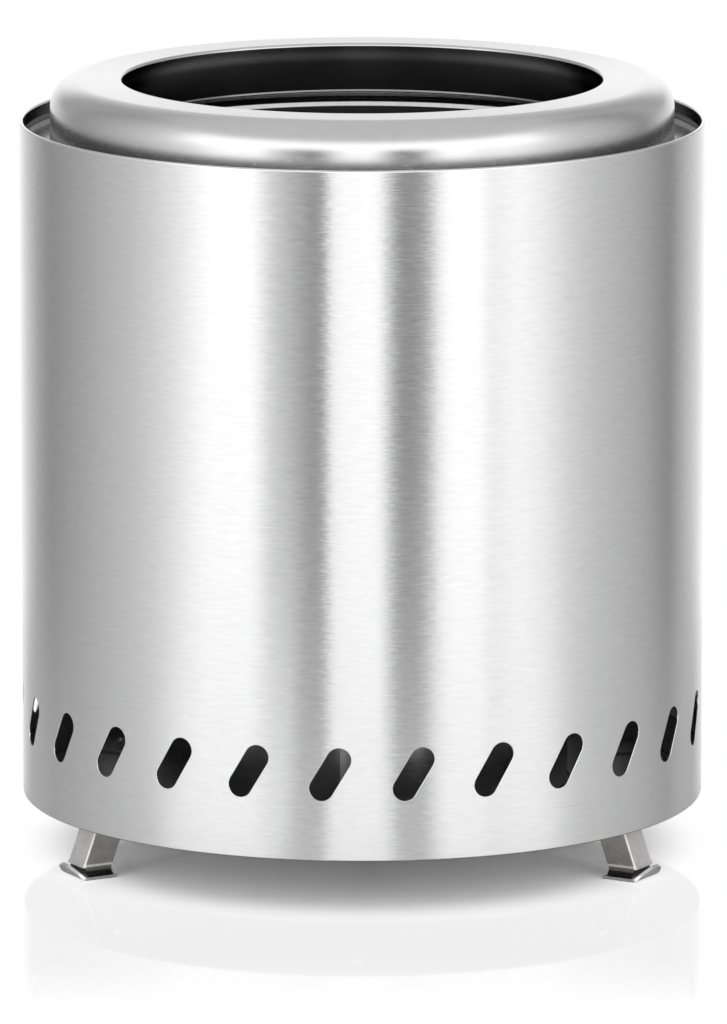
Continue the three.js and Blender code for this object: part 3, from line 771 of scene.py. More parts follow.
class FIREPIT_OT_shell(bpy.types.Operator):
    """Build the outer shell: a wall with a hemmed rim, a turned-in bottom edge and a row of air slots"""

    bl_idname = "firepit.shell"
    bl_label = "Outer shell"

    def execute(self, context):
        sheet = context.scene.pit_sheet
        size = context.scene.pit_shell
        low, high = SHELL[0].z, SHELL[1].z
        outside = SHELL[1].x
        inside = outside - size.sheet
        hem_inside = outside - size.hem_width
        lip = min(math.hypot(v.co.x, v.co.y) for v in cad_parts["outer_shell"].data.vertices)
        slot_middle = low + size.slot_height
        margin = size.slot_length / 2 + size.slot_width / 2
        hem = FULL_ROUND * size.hem_width / 2
        section = rounded([
            (lip, low, sheet.edge),
            (outside, low, size.bottom_bend),
            (outside, slot_middle - margin, 0),
            (outside, slot_middle + margin, 0),
            (outside, high, hem),
            (hem_inside, high, hem),
            (hem_inside, high - size.hem_depth, sheet.edge),
            (inside, high - size.hem_depth, 0),
            (inside, slot_middle + margin, 0),
            (inside, slot_middle - margin, 0),
            (inside, low + size.sheet, sheet.crease),
            (lip, low + size.sheet, sheet.edge),
        ], sheet.fold_steps)
        shell = turn("shell", section, sheet.columns)
        cut(shell, [self.slot_punches(context), *screw_hole_cutters(low, low + size.sheet)])
        smooth(shell)
        true_walls(shell, (outside, inside))
        skin = 0.02 * MM
        face_of_wall = 0.97
        downwards = 0.6
        rim_share = 0.6

        # Painted highlight: the slots' cut edges get the brighter edge steel
        def on_slot_edge(centre, normal):
            distance = math.hypot(centre.x, centre.y)
            return (abs(centre.z - slot_middle) < margin and inside - skin < distance < outside - skin
                    and abs(normal.dot(centre.normalized())) < face_of_wall)

        def on_inner_wall(centre, normal):
            return math.hypot(centre.x, centre.y) < inside + skin and centre.z < high - size.hem_width / 2

        # Painted shade: the inner wall and the downward faces of the bottom bend get the darkened inner wall
        # steel
        def in_painted_shade(centre, normal):
            shaded_underneath = centre.z < low + size.bottom_bend and normal.z < -downwards
            return on_inner_wall(centre, normal) or shaded_underneath

        # Painted shade: the inner wall above the ledge, in the gutter, gets the darkened gutter steel
        def in_gutter(centre, normal):
            return on_inner_wall(centre, normal) and centre.z > LEDGE[0].z

        # Painted highlight: the top of the hemmed rim gets the brighter edge steel
        def on_rim(centre, normal):
            return centre.z > high - rim_share * size.hem_width

        colours = context.scene.pit_finish
        brushed = round_steel("brushed shell steel", colours.shell, roughness=0.24, stretch=1.0, streak=0.07,
                              waver=0.026)
        inner = round_steel("inner wall steel", colours.inner, roughness=0.2, stretch=0.3)
        gutter = round_steel("gutter wall steel", colours.gutter, roughness=0.24, stretch=0.5, rim_tint=0.0)
        rim = plain_steel("hemmed rim steel", colours.edge, roughness=0.2, streak=0.04, dent=0.05)
        punched = plain_steel("punched edge steel", colours.edge, roughness=0.16)
        finish(shell, brushed, "fire_pit", ["outer_shell"],
               [(inner, in_painted_shade), (gutter, in_gutter), (rim, on_rim), (punched, on_slot_edge)])
        return {"FINISHED"}

    def slot_punches(self, context):
        """Pill-shaped punches that flare at the wall's faces, in a row that is wrapped round the wall."""
        sheet = context.scene.pit_sheet
        size = context.scene.pit_shell
        outside = SHELL[1].x
        radius = size.slot_width / 2
        edge = size.slot_edge
        back = sheet.edge
        outer = [(radius + edge, 3 * edge)]
        outer += [
            (radius + edge * (1 - math.sin(turned)), -edge * (1 - math.cos(turned)))
            for turned in (math.pi / 2 * step / sheet.fold_steps for step in range(sheet.fold_steps + 1))
        ]
        inner = [
            (radius, back - size.sheet),
            (radius + back, -size.sheet),
            (radius + back, -size.sheet - 3 * edge),
        ]
        sides = 2 * sheet.hole_sides
        first, depth = outer[0]
        punch = start_piece(
            "slot_punch", bpy.ops.mesh.primitive_circle_add, vertices=sides, radius=first,
            fill_type="NGON", location=(0, 0, depth), rotation=(0, 0, math.pi / sides),
        )
        bpy.ops.object.mode_set(mode="EDIT")
        bpy.ops.mesh.select_all(action="SELECT")
        draw_rings(outer + inner)
        leave_edit()
        settle(punch)
        straight = (size.slot_length - size.slot_width) / 2
        edit(punch)
        for side in (-1, 1):
            select_points(punch, lambda place: place.y * side > 0)
            bpy.ops.transform.translate(value=(0, side * straight, 0))
        weld_points()
        leave_edit()
        punch.rotation_euler = (0, math.pi / 2, 0)
        settle(punch)
        punch.rotation_euler.x = math.pi / 2 - size.slot_tilt
        settle(punch)
        count = math.floor((2 * math.pi * outside - size.seam_strip) / size.slot_pitch)
        apply_modifier(punch, "ARRAY", count=count, use_relative_offset=False, use_constant_offset=True,
                       constant_offset_displace=(0, size.slot_pitch, 0))
        start = size.slot_turn - (count - 1) / 2 * size.slot_pitch / outside - math.pi / 2
        for vertex in punch.data.vertices:
            angle = start + vertex.co.y / outside
            distance = outside + vertex.co.x
            height = SHELL[0].z + size.slot_height + vertex.co.z
            vertex.co = (distance * math.cos(angle), distance * math.sin(angle), height)
        return punch


class FIREPIT_OT_ledge(bpy.types.Operator):
    """Build the recessed ledge with its turned-up outer lip"""

    bl_idname = "firepit.ledge"
    bl_label = "Top ledge"

    def execute(self, context):
        sheet = context.scene.pit_sheet
        size = context.scene.pit_ring
        outside = LEDGE[1].x
        inside = min(math.hypot(v.co.x, v.co.y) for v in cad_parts["top_ledge"].data.vertices)
        low, high = LEDGE[0].z, LEDGE[1].z
        deck = high - size.ledge_lip
        section = rounded([
            (inside, low, sheet.edge),
            (outside, low, SOFT_ROUND * size.ledge_sheet),
            (outside, high, sheet.edge),
            (outside - size.ledge_sheet, high, sheet.edge),
            (outside - size.ledge_sheet, deck, sheet.crease),
            (inside, deck, sheet.edge),
        ], sheet.fold_steps)
        ledge = turn("ledge", section, sheet.columns)
        smooth(ledge)
        satin = round_steel("satin ledge steel", context.scene.pit_finish.ledge, roughness=0.24, stretch=0.6)
        finish(ledge, satin, "fire_pit", ["top_ledge"])
        return {"FINISHED"}


class FIREPIT_OT_ring(bpy.types.Operator):
    """Build the loose flame ring: a flat top, a round shoulder, an outer skirt and a hemmed inner skirt"""

    bl_idname = "firepit.ring"
    bl_label = "Flame ring"

    def execute(self, context):
        sheet = context.scene.pit_sheet
        size = context.scene.pit_ring
        outside = RING[1].x
        low = RING[0].z
        top = RING[1].z - size.top_drop
        skirt_end = top - size.skirt
        opening = size.opening
        hem_outside = opening + 2 * size.sheet
        roll = size.hem_roll
        section = rounded([
            (opening - roll, skirt_end, SOFT_ROUND * roll),
            (opening, skirt_end + size.roll_height, size.roll_height / 2),
            (opening, top, size.opening_bend),
            (outside, top, size.shoulder),
            (outside, low, sheet.edge),
            (outside - size.sheet, low, sheet.edge),
            (outside - size.sheet, top - size.sheet, size.shoulder - size.sheet),
            (opening + size.sheet, top - size.sheet, size.opening_bend - size.sheet),
            (opening + size.sheet, skirt_end + size.hem, 0),
            (hem_outside, skirt_end + size.hem, sheet.edge),
            (hem_outside, skirt_end, FULL_ROUND * size.sheet),
        ], 2 * sheet.fold_steps)
        ring = turn("ring", section, sheet.columns)
        smooth(ring)
        skirt_top = top - 0.9 * size.opening_bend

        # Painted shade: the inner skirt inside the opening gets the darkened skirt steel, with its painted
        # highlight band
        def on_skirt(centre, normal):
            return math.hypot(centre.x, centre.y) < opening + sheet.edge and centre.z < skirt_top

        colours = context.scene.pit_finish
        # Painted highlight band on the skirt, in place of the front lamp's reflection
        band = (top - size.highlight_drop, size.highlight_reach, colours.skirt_highlight)
        satin = round_steel("satin ring steel", colours.ring, roughness=0.25, stretch=0.5, streak=0.025,
                            grain=0.9 * MM, waver=0.003)
        skirt = round_steel("inner skirt steel", colours.skirt, roughness=0.16, stretch=0.3, rim_tint=0.0,
                            band=band)
        finish(ring, satin, "flame_ring", ["flame_ring"], [(skirt, on_skirt)])
        return {"FINISHED"}


class FIREPIT_OT_pot(bpy.types.Operator):
    """Build the fire pot: a wall with a rolled rim, upper air holes, rivet holes and an open floor"""

    bl_idname = "firepit.pot"
    bl_label = "Fire pot"

    def execute(self, context):
        scene = context.scene
        sheet = scene.pit_sheet
        size = scene.pit_pot
        legs = scene.pit_legs
        low, high = POT[0].z, POT[1].z
        rim_outside = POT[1].x
        inside = size.inside
        outside = inside + size.sheet
        rim_low = high - size.rim_height
        roll = FULL_ROUND * size.rim_height / 2
        section = rounded([
            (size.floor_hole, low, sheet.edge),
            (outside, low, size.floor_bend),
            (outside, rim_low, sheet.crease),
            (rim_outside, rim_low, roll),
            (rim_outside, high, roll),
            (inside + size.flare_drop * math.tan(size.flare), high, size.flare_bend),
            (inside, high - size.flare_drop, 2 * size.sheet),
            (inside, low + size.sheet, size.floor_bend - size.sheet),
            (size.floor_hole, low + size.sheet, sheet.edge),
        ], sheet.fold_steps)
        pot = turn("pot", section, sheet.columns)
        wall = (inside, outside)
        ledge_top = LEDGE[1].z - scene.pit_ring.ledge_lip
        air = drill("air_hole", size.air_hole, *wall, sheet.hole_sides, along_x=True)
        moved(air, z=ledge_top - size.air_hole_drop)
        rivet = drill("rivet_hole", legs.rivet_radius + legs.clearance, *wall, sheet.hole_sides, along_x=True)
        moved(rivet, z=low + size.sheet + legs.rivet_height)
        cut(pot, [
            *spun_copies(air, even_turns(size.air_holes)), *spun_copies(rivet, row_angles(legs.turn, 0.5))])
        smooth(pot)
        true_walls(pot, wall)

        # Painted shade: the rolled rim and the top of the inner wall get the less darkened rim steel
        def on_rim(centre, normal):
            inside_face = math.hypot(centre.x, centre.y) < outside - sheet.edge
            return centre.z > rim_low or (centre.z > high - size.flare_drop and inside_face)

        # Painted shade: the pot's darkened steel
        mill = round_steel("pot steel", scene.pit_finish.pot, roughness=0.24, stretch=0.4, streak=0.12)
        rim = plain_steel("pot rim steel", scene.pit_finish.rim, roughness=0.14)
        finish(pot, mill, "fire_pit", ["fire_pot"], [(rim, on_rim)])
        return {"FINISHED"}


class FIREPIT_OT_grate(bpy.types.Operator):
    """Build the fire grate: a sunk disc with rows of round holes and a finger hole"""

    bl_idname = "firepit.grate"
    bl_label = "Fire grate"

    def execute(self, context):
        sheet = context.scene.pit_sheet
        size = context.scene.pit_pot
        low, high = GRATE[0].z, GRATE[1].z
        outside = GRATE[1].x
        dish = size.grate_dish
        thick = size.grate_sheet
        bend = size.grate_bend
        section = rounded([
            (dish / 2, low, 0),
            (dish, low, bend),
            (dish, high - thick, bend - thick / 2),
            (outside, high - thick, sheet.edge),
            (outside, high, sheet.edge),
            (dish - thick, high, bend),
            (dish - thick, low + thick, bend - thick / 2),
            (dish / 2, low + thick, 0),
        ], sheet.fold_steps)
        grate = turn("grate", section, sheet.columns // 2, solid=True)
        cutters = [drill("finger_hole", size.grate_finger, low, high, 2 * sheet.hole_sides)]
        row = size.grate_row
        while row + size.grate_row / 2 < dish:
            count = round(2 * math.pi * row / size.grate_pitch)
            hole = moved(drill("grate_hole", size.grate_hole, low, high, sheet.hole_sides), row)
            cutters += spun_copies(hole, even_turns(count))
            row += size.grate_row
        cut(grate, cutters)
        smooth(grate)
        # Painted shade: the grate takes the pot's darkened steel
        mill = round_steel("grate steel", context.scene.pit_finish.pot, roughness=0.36, stretch=0.4,
                           streak=0.1)
        finish(grate, mill, "fire_grate", ["fire_grate"])
        return {"FINISHED"}


class FIREPIT_OT_pan(bpy.types.Operator):
    """Build the ash pan with its rim and two grip holes"""

    bl_idname = "firepit.pan"
    bl_label = "Ash pan"

    def execute(self, context):
        sheet = context.scene.pit_sheet
        size = context.scene.pit_pot
        low, high = PAN[0].z, PAN[1].z
        rim = PAN[1].x
        outside = rim - size.pan_rim_width
        inside = outside - size.pan_sheet
        roll = SOFT_ROUND * size.pan_rim_height / 2
        section = rounded([
            (outside / 2, low, 0),
            (outside, low, size.pan_bend),
            (outside, high - size.pan_rim_height, sheet.crease),
            (rim, high - size.pan_rim_height, roll),
            (rim, high, roll),
            (inside, high, size.pan_edge),
            (inside, low + size.pan_sheet, size.pan_bend - size.pan_sheet),
            (outside / 2, low + size.pan_sheet, 0),
        ], sheet.fold_steps)
        pan = turn("pan", section, sheet.columns, solid=True)
        grip = drill("grip", size.grip_height / 2, inside, outside, 2 * sheet.hole_sides, along_x=True)
        straight = (size.grip_length - size.grip_height) / 2
        edit(grip)
        for side in (-1, 1):
            select_points(grip, lambda place: place.y * side > sheet.weld)
            bpy.ops.transform.translate(value=(0, side * straight, 0))
        leave_edit()
        moved(grip, z=high - size.grip_drop)
        cut(pan, spun_copies(grip, [0, math.pi]))
        smooth(pan)
        true_walls(pan, (inside, outside))
        mill = round_steel("pan steel", context.scene.pit_finish.pan, roughness=0.25, stretch=0.3, streak=0.1)
        finish(pan, mill, "ash_pan", ["ash_pan"])
        return {"FINISHED"}


class FIREPIT_OT_base(bpy.types.Operator):
    """Build the base plate with the raised ring that centres the pan"""

    bl_idname = "firepit.base"
    bl_label = "Base plate"

    def execute(self, context):
        sheet = context.scene.pit_sheet
        size = context.scene.pit_pot
        low, high = PLATE[0].z, PLATE[1].z
        top = low + size.plate_sheet
        stop_outside = size.stop_inside + size.stop_width
        section = rounded([
            (size.stop_inside / 2, low, 0),
            (PLATE[1].x, low, sheet.edge),
            (PLATE[1].x, top, sheet.edge),
            (stop_outside, top, size.stop_foot),
            (stop_outside, high, size.stop_round),
            (size.stop_inside, high, size.stop_round),
            (size.stop_inside, top, size.stop_foot),
            (size.stop_inside / 2, top, 0),
        ], sheet.fold_steps)
        plate = turn("plate", section, sheet.columns // 2, solid=True)
        cut(plate, screw_hole_cutters(low, top))
        smooth(plate)
        plated = plain_steel("plated sheet", context.scene.pit_finish.plated, roughness=0.42, grain=12 * MM)
        finish(plate, plated, "fire_pit", ["base_plate"])
        return {"FINISHED"}


class FIREPIT_OT_legs(bpy.types.Operator):
    """Build the three leaning legs: folded channels with ears that are screwed to the bottom"""

    bl_idname = "firepit.legs"
    bl_label = "Legs"

    def execute(self, context):
        scene = context.scene
        sheet = scene.pit_sheet
        size = scene.pit_legs
        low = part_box(LEG_NAMES[0])[0].z
        top = SHELL[0].z - size.clearance
        half = size.width / 2
        leg = start_piece(
            "leg_channel", bpy.ops.mesh.primitive_cube_add, size=1,
            location=(-size.depth / 2, 0, (low + top) / 2), scale=(size.depth, size.width, top - low),
        )
        settle(leg)
        edit(leg, "FACE")
        select_faces(leg, lambda centre, normal: abs(normal.z) > FACING or normal.x < -FACING)
        bpy.ops.mesh.delete(type="FACE")
        bpy.ops.mesh.select_mode(type="EDGE")
        for side in (-1, 1):
            select_edges(leg, lambda one, other: min(one.z, other.z) > top - sheet.edge
                         and min(one.y * side, other.y * side) > half - sheet.edge)
            extrude(y=side * size.ear)
        select_edges(leg, lambda one, other: max(abs(one.x), abs(other.x)) < sheet.edge
                     and abs(one.z - other.z) > (top - low) / 2)
        bpy.ops.mesh.bevel(offset=size.corner, segments=sheet.fold_steps, affect="EDGES")
        leave_edit()
        edit(leg, "FACE")
        for height in (size.lip, 1.6 * size.lip):
            bpy.ops.mesh.select_all(action="SELECT")
            bpy.ops.mesh.bisect(plane_co=(0, 0, low + height), plane_no=(0, 0, 1))
        weld_points()
        leave_edit()
        for vertex in leg.data.vertices:
            if vertex.co.z > low + size.lip + sheet.weld:
                continue
            if abs(vertex.co.y) > half - sheet.edge:
                vertex.co.y += math.copysign(size.lip_flare, vertex.co.y)
            if vertex.co.x > -sheet.edge:
                vertex.co.x += size.lip_flare
        self.face_outwards(leg)
        thicken(leg, size.sheet, -1, sheet.edge)
        lean_out(leg)
        hole = size.screw_radius + size.clearance
        cut(leg, [
            moved(drill("ear_hole", hole, top - size.sheet, top, sheet.hole_sides), x, y)
            for x, y in ear_places()
        ])
        smooth(leg)
        colours = scene.pit_finish
        steel = plain_steel("leg steel", colours.leg, roughness=0.46, grain=5 * MM, streak=0.08,
                            tint=colours.leg_heat, tint_share=0.1)
        side_shade_and_tint = plain_steel("heat tinted leg steel", colours.leg_side_shade, roughness=0.25, grain=5 * MM,
                             streak=0.1, tint=colours.side_heat, tint_share=0.4)
        # Painted shade: faces of each leg that point sideways get the darker side steel, which also carries a
        # heat tint
        sideways = 0.8
        angles = row_angles(size.turn)
        for piece, node, angle in zip(spun_copies(leg, angles), LEG_NAMES, angles):
            back = Matrix.Rotation(-angle, 3, "Z")
            finish(piece, steel, "fire_pit", [node],
                   [(side_shade_and_tint, lambda centre, normal: abs((back @ normal).y) > sideways)])
        return {"FINISHED"}

    def face_outwards(self, leg):
        """Turns the channel's faces so that they point away from its hollow."""
        edit(leg, "FACE")
        face_alike()
        leave_edit()
        front = max(leg.data.polygons, key=lambda face: face.center.x)
        if front.normal.x < 0:
            edit(leg, "FACE")
            bpy.ops.mesh.select_all(action="SELECT")
            bpy.ops.mesh.flip_normals()
            leave_edit()


class FIREPIT_OT_pads(bpy.types.Operator):
    """Build the three foot pads: a waisted block on a pressed sole with a tongue that curls up outwards"""

    bl_idname = "firepit.pads"
    bl_label = "Foot pads"

    def execute(self, context):
        scene = context.scene
        sheet = scene.pit_sheet
        size = scene.pit_legs
        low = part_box(LEG_NAMES[0])[0].z
        half = size.width / 2
        sole_half = half + size.pad_flare
        outer_end = leg_face_at(low) - size.sheet
        inner_end = leg_face_at(low) - size.depth
        top = low - size.clearance
        sole = self.sole(context, inner_end - size.pad_heel, sole_half)
        waist_half = half - size.pad_waist
        waist = start_piece(
            "waist", bpy.ops.mesh.primitive_plane_add, size=1, location=(0, 0, top),
            scale=(outer_end - inner_end, 2 * waist_half, 1),
        )
        settle(waist)
        edit(waist)
        bpy.ops.mesh.select_all(action="SELECT")
        steps = 2 * sheet.fold_steps
        across, height = waist_half, top
        rise = top - size.pad_sheet
        foot_half = sole_half - sheet.edge
        for step in range(1, steps + 1):
            turned = math.pi / 2 * step / steps
            next_across = foot_half - (foot_half - waist_half) * math.cos(turned)
            next_height = top - rise * math.sin(turned)
            extrude(z=next_height - height)
            stretch_row(y=next_across / across)
            across, height = next_across, next_height
        extrude(z=-size.pad_sheet / 2)
        face_alike()
        leave_edit()
        moved(waist, (inner_end + outer_end) / 2)
        wall = size.sheet + size.clearance
        plug_top = low + size.pad_plug
        plug = start_piece(
            "plug", bpy.ops.mesh.primitive_cube_add, size=1,
            location=(-(size.depth + wall) / 2, 0, (top + plug_top) / 2),
            scale=(size.depth - wall, 2 * (half - wall), plug_top - top + size.lip),
        )
        settle(plug)
        apply_modifier(plug, "BEVEL", width=size.corner / 2, segments=sheet.fold_steps)
        lean_out(plug)
        for part in (waist, plug):
            apply_modifier(sole, "BOOLEAN", operation="UNION", solver="EXACT", object=part)
            bpy.data.objects.remove(part)
        sole.name = sole.data.name = "pad_pressing"
        smooth(sole)
        colours = scene.pit_finish

        # Painted shade: the waist between the sole and the leg gets the near-black groove steel
        def in_groove(centre, normal):
            between = size.pad_sheet + sheet.edge < centre.z < top - sheet.edge
            return between and centre.x < outer_end + sheet.edge

        bright = plain_steel("foot pad steel", colours.pad, roughness=0.2, grain=2 * MM, streak=0.12)
        dark = plain_steel("foot pad groove steel", colours.groove, roughness=0.3, grain=2 * MM, streak=0.2)
        angles = row_angles(size.turn)
        for piece, node, angle in zip(spun_copies(sole, angles), PAD_NAMES, angles):
            back = Matrix.Rotation(-angle, 3, "Z")
            finish(piece, bright, "fire_pit", [node],
                   [(dark, lambda centre, normal: in_groove(back @ centre, normal))])
        return {"FINISHED"}

    def sole(self, context, heel, sole_half):
        """The sole and its tongue, drawn out row by row from the heel and then given its thickness."""
        sheet = context.scene.pit_sheet
        size = context.scene.pit_legs
        outside = SHELL[1].x
        curl = outside - size.tongue_start
        shoulder = outside - size.tongue_shoulder
        tip = outside - size.tongue_inset
        radius = size.tongue_radius
        bend = curl + radius * math.sin(size.tongue_slope)

        def height_at(x):
            if x <= curl:
                return 0.0
            if x <= bend:
                return radius - math.sqrt(radius**2 - (x - curl)**2)
            return radius * (1 - math.cos(size.tongue_slope)) + (x - bend) * math.tan(size.tongue_slope)

        steps = 3 * sheet.fold_steps
        rows = [(curl, sole_half), (shoulder, sole_half)]
        end_turn = math.radians(84)
        for step in range(1, steps + 1):
            turned = end_turn * step / steps
            rows.append((shoulder + (tip - shoulder) * math.sin(turned) / math.sin(end_turn),
                         sole_half * math.cos(turned)))
        sole = start_piece("sole", bpy.ops.mesh.primitive_plane_add, size=1,
                           location=((heel + curl) / 2, 0, 0), scale=(curl - heel, 2 * sole_half, 1))
        settle(sole)
        edit(sole)
        bpy.ops.mesh.select_mode(type="EDGE")
        select_edges(sole, lambda one, other: min(one.x, other.x) > curl - sheet.edge)
        place, width = rows[0]
        for next_place, next_width in rows[1:]:
            extrude(x=next_place - place, z=height_at(next_place) - height_at(place))
            stretch_row(y=next_width / width)
            place, width = next_place, next_width
        face_alike()
        leave_edit()
        if sole.data.polygons[0].normal.z < 0:
            sole.data.flip_normals()
        thicken(sole, size.pad_sheet, 1, size.pad_edge, steps=4)
        return sole


class FIREPIT_OT_brackets(bpy.types.Operator):
    """Build the three pot brackets: bent straps with a rivet hole above and a screw hole below"""

    bl_idname = "firepit.brackets"
    bl_label = "Pot brackets"

    def execute(self, context):
        scene = context.scene
        sheet = scene.pit_sheet
        size = scene.pit_legs
        low, high = (corner.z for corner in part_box(BRACKET_NAMES[0]))
        web = bracket_web()
        thick = size.bracket_sheet
        bracket = start_piece(
            "bracket_strap", bpy.ops.mesh.primitive_plane_add, size=1,
            location=(web + size.bracket_foot / 2, 0, low), scale=(size.bracket_foot, size.bracket_width, 1),
        )
        settle(bracket)
        edit(bracket)
        bpy.ops.mesh.select_mode(type="EDGE")
        select_edges(bracket, lambda one, other: max(one.x, other.x) < web + sheet.edge)
        extrude(z=high - low)
        select_edges(bracket, lambda one, other: max(one.x, other.x) < web + sheet.edge
                     and max(one.z, other.z) < low + sheet.edge)
        bpy.ops.mesh.bevel(offset=1.3 * thick, segments=sheet.fold_steps, affect="EDGES")
        face_alike()
        leave_edit()
        highest = max(bracket.data.polygons, key=lambda face: face.center.z)
        if highest.normal.x < 0:
            bracket.data.flip_normals()
        thicken(bracket, thick, 1, sheet.edge)
        rivet = drill("rivet_hole", size.rivet_radius + size.clearance, web, web + thick, sheet.hole_sides,
                      along_x=True)
        moved(rivet, z=POT[0].z + scene.pit_pot.sheet + size.rivet_height)
        screw = drill("screw_hole", size.screw_radius + size.clearance, low, low + thick, sheet.hole_sides)
        cut(bracket, [rivet, moved(screw, bracket_screw())])
        smooth(bracket)
        steel = plain_steel("bracket steel", scene.pit_finish.plated, roughness=0.42, grain=9 * MM)
        for piece, node in zip(spun_copies(bracket, row_angles(size.turn, 0.5)), BRACKET_NAMES):
            finish(piece, steel, "fire_pit", [node])
        return {"FINISHED"}


class FIREPIT_OT_fasteners(bpy.types.Operator):
    """Build the screws with their hexagon sockets, the chamfered nuts and the domed rivets"""

    bl_idname = "firepit.fasteners"
    bl_label = "Fasteners"

    def execute(self, context):
        scene = context.scene
        size = scene.pit_legs
        steel = plain_steel("zinc plate", scene.pit_finish.zinc, roughness=0.28, grain=3 * MM)
        plate_top = PLATE[0].z + scene.pit_pot.plate_sheet
        leg_under = SHELL[0].z - size.clearance - size.sheet
        bracket_over = plate_top + size.clearance + size.bracket_sheet
        self.add_row("leg", steel, ear_places(), row_angles(size.turn), leg_under, plate_top)
        self.add_row("bracket", steel, [(bracket_screw(), 0)], row_angles(size.turn, 0.5),
                     SHELL[0].z, bracket_over)
        for rivet, node in zip(spun_copies(self.rivet(context), row_angles(size.turn, 0.5)), RIVET_NAMES):
            finish(rivet, steel, "fire_pit", [node])
        return {"FINISHED"}

    def add_row(self, prefix, steel, places, angles, under, over):
        """Screws and nuts of one kind, numbered as the frame's nodes are: leg by leg, place by place."""
        for place, (x, y) in enumerate(places):
            screw = moved(self.screw(under, over), x, y)
            nut = moved(self.nut(over), x, y)
            for row, (one, other) in enumerate(zip(spun_copies(screw, angles), spun_copies(nut, angles))):
                number = row * len(places) + place + 1
                for piece, kind in ((one, "screw"), (other, "nut")):
                    piece.name = piece.data.name = f"{prefix}_{kind}_turned_{number}"
                    finish(piece, steel, "fire_pit", [f"{prefix}_{kind}_{number}"])

    def screw(self, under, over):
        """A button head screw whose head is below, with thread turns on its end."""
        scene = bpy.context.scene
        sheet = scene.pit_sheet
        size = scene.pit_legs
        head_top = under - size.clearance
        end = over + size.clearance + size.nut_height + size.screw_end
        pitch = size.screw_radius / 3
        groove = 0.85 * size.screw_radius
        flat_share = 0.2
        section = [(size.socket, head_top - size.head_height)]
        for step in range(sheet.fold_steps + 1):
            turned = math.pi / 2 * step / sheet.fold_steps
            section.append((size.socket + (size.head_radius - size.socket) * math.sin(turned),
                            head_top - size.head_height * (flat_share + (1 - flat_share) * math.cos(turned))))
        section += [(size.head_radius, head_top), (size.screw_radius, head_top), (size.screw_radius, over)]
        height = over
        while height + 1.5 * pitch < end:
            section += [(groove, height + pitch / 2), (size.screw_radius, height + pitch)]
            height += pitch
        section += [(groove, end)]
        screw = turn("screw", section, sheet.hole_sides, solid=True)
        socket = start_piece(
            "socket", bpy.ops.mesh.primitive_cylinder_add, vertices=6, radius=size.socket,
            depth=size.head_height, location=(0, 0, head_top - size.head_height),
        )
        settle(socket)
        cut(screw, [socket])
        smooth(screw)
        return screw

    def nut(self, over):
        """A hexagon nut with turned chamfers at both ends."""
        scene = bpy.context.scene
        size = scene.pit_legs
        low = over + size.clearance
        high = low + size.nut_height
        chamfer = 0.14 * size.nut_radius
        nut = start_piece(
            "nut", bpy.ops.mesh.primitive_cylinder_add, vertices=6, radius=size.nut_radius,
            depth=size.nut_height, location=(0, 0, (low + high) / 2), rotation=(0, 0, math.pi / 6),
        )
        settle(nut)
        wide = size.nut_radius + chamfer
        narrow = size.nut_radius - 3 * chamfer
        # The cones go on past the nut's ends, because two faces in one plane spoil the boolean
        blank = turn("nut_blank", [
            (narrow, low - chamfer), (wide, low + chamfer), (wide, high - chamfer), (narrow, high + chamfer),
        ], 2 * scene.pit_sheet.hole_sides, solid=True)
        apply_modifier(nut, "BOOLEAN", operation="INTERSECT", solver="EXACT", object=blank)
        bpy.data.objects.remove(blank)
        bore = drill("bore", size.screw_radius + size.clearance, low, high, scene.pit_sheet.hole_sides)
        cut(nut, [bore])
        smooth(nut, 25)
        return nut

    def rivet(self, context):
        """A rivet along X with a domed head on each side."""
        size = context.scene.pit_legs
        sheet = context.scene.pit_sheet
        low, high = (corner.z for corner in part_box(RIVET_NAMES[0]))
        inside = context.scene.pit_pot.inside * math.cos(math.pi / FRAME_SIDES) - size.clearance
        outside = bracket_web() + size.bracket_sheet + size.clearance
        dome = [
            (max(size.rivet_head * math.sin(math.pi / 2 * step / sheet.fold_steps), 0.1 * size.rivet_head),
             size.rivet_head_height * math.cos(math.pi / 2 * step / sheet.fold_steps))
            for step in range(sheet.fold_steps + 1)
        ]
        section = [(radius, inside - height) for radius, height in dome]
        section += [(size.rivet_radius, inside), (size.rivet_radius, outside)]
        section += [(radius, outside + height) for radius, height in reversed(dome)]
        rivet = turn("domed_rivet", section, sheet.hole_sides, solid=True)
        rivet.rotation_euler.y = math.pi / 2
        settle(rivet)
        smooth(rivet)
        return moved(rivet, z=(low + high) / 2)


# Floor: its brightness, with what is added to it where it is seen or mirrored, a painted shadow and painted
# card reflections that only steel mirrors, and places from the axis
FLOOR_TONE = 0.8
SEEN_TONE = 1.6
MIRRORED_TONE = 0.65
SHADOWED_TONE = -0.1
CARD_TONE = -1.3
WHITE = 1.02
FLOOR_SHINE = (0.16, 0.7)
CARD_SHINE = -0.16
CLEAR_FLOOR = (220 * MM, 300 * MM)
FLOOR_FADE = (280 * MM, 420 * MM)
PAINTED_WIDTH = 207 * MM
PAINTED_DEPTH = 215 * MM
PAINT_END = (0.7, 0.98)

# Dark front cards whose reflections are painted on the floor, in degrees from the front towards +X
CARD_MIDDLES = (-13.5, 12.5)
CARD_EDGE = (2.5, 7)

# Light tent: degrees from the front to either side, degrees above level, and brightness
LAMP_SIDES = (62, 78)
LAMP_FOOT = (2, 9)
LAMP_TONE = 1.42
BACK_SIDES = (125, 150)
BACK_FOOT = (0, 9)
BACK_TONE = 0.38
BACK_CARD_SIDES = (150, 172)
BACK_CARD_RISE = (12, 24)
BACK_CARD_TONES = (0.72, 0.2)
WALL_TURN = (60, 100)
WALL_TOP = (24, 40)
CEILING_EDGE = (0, 20)
CEILING_TONE = 0.6

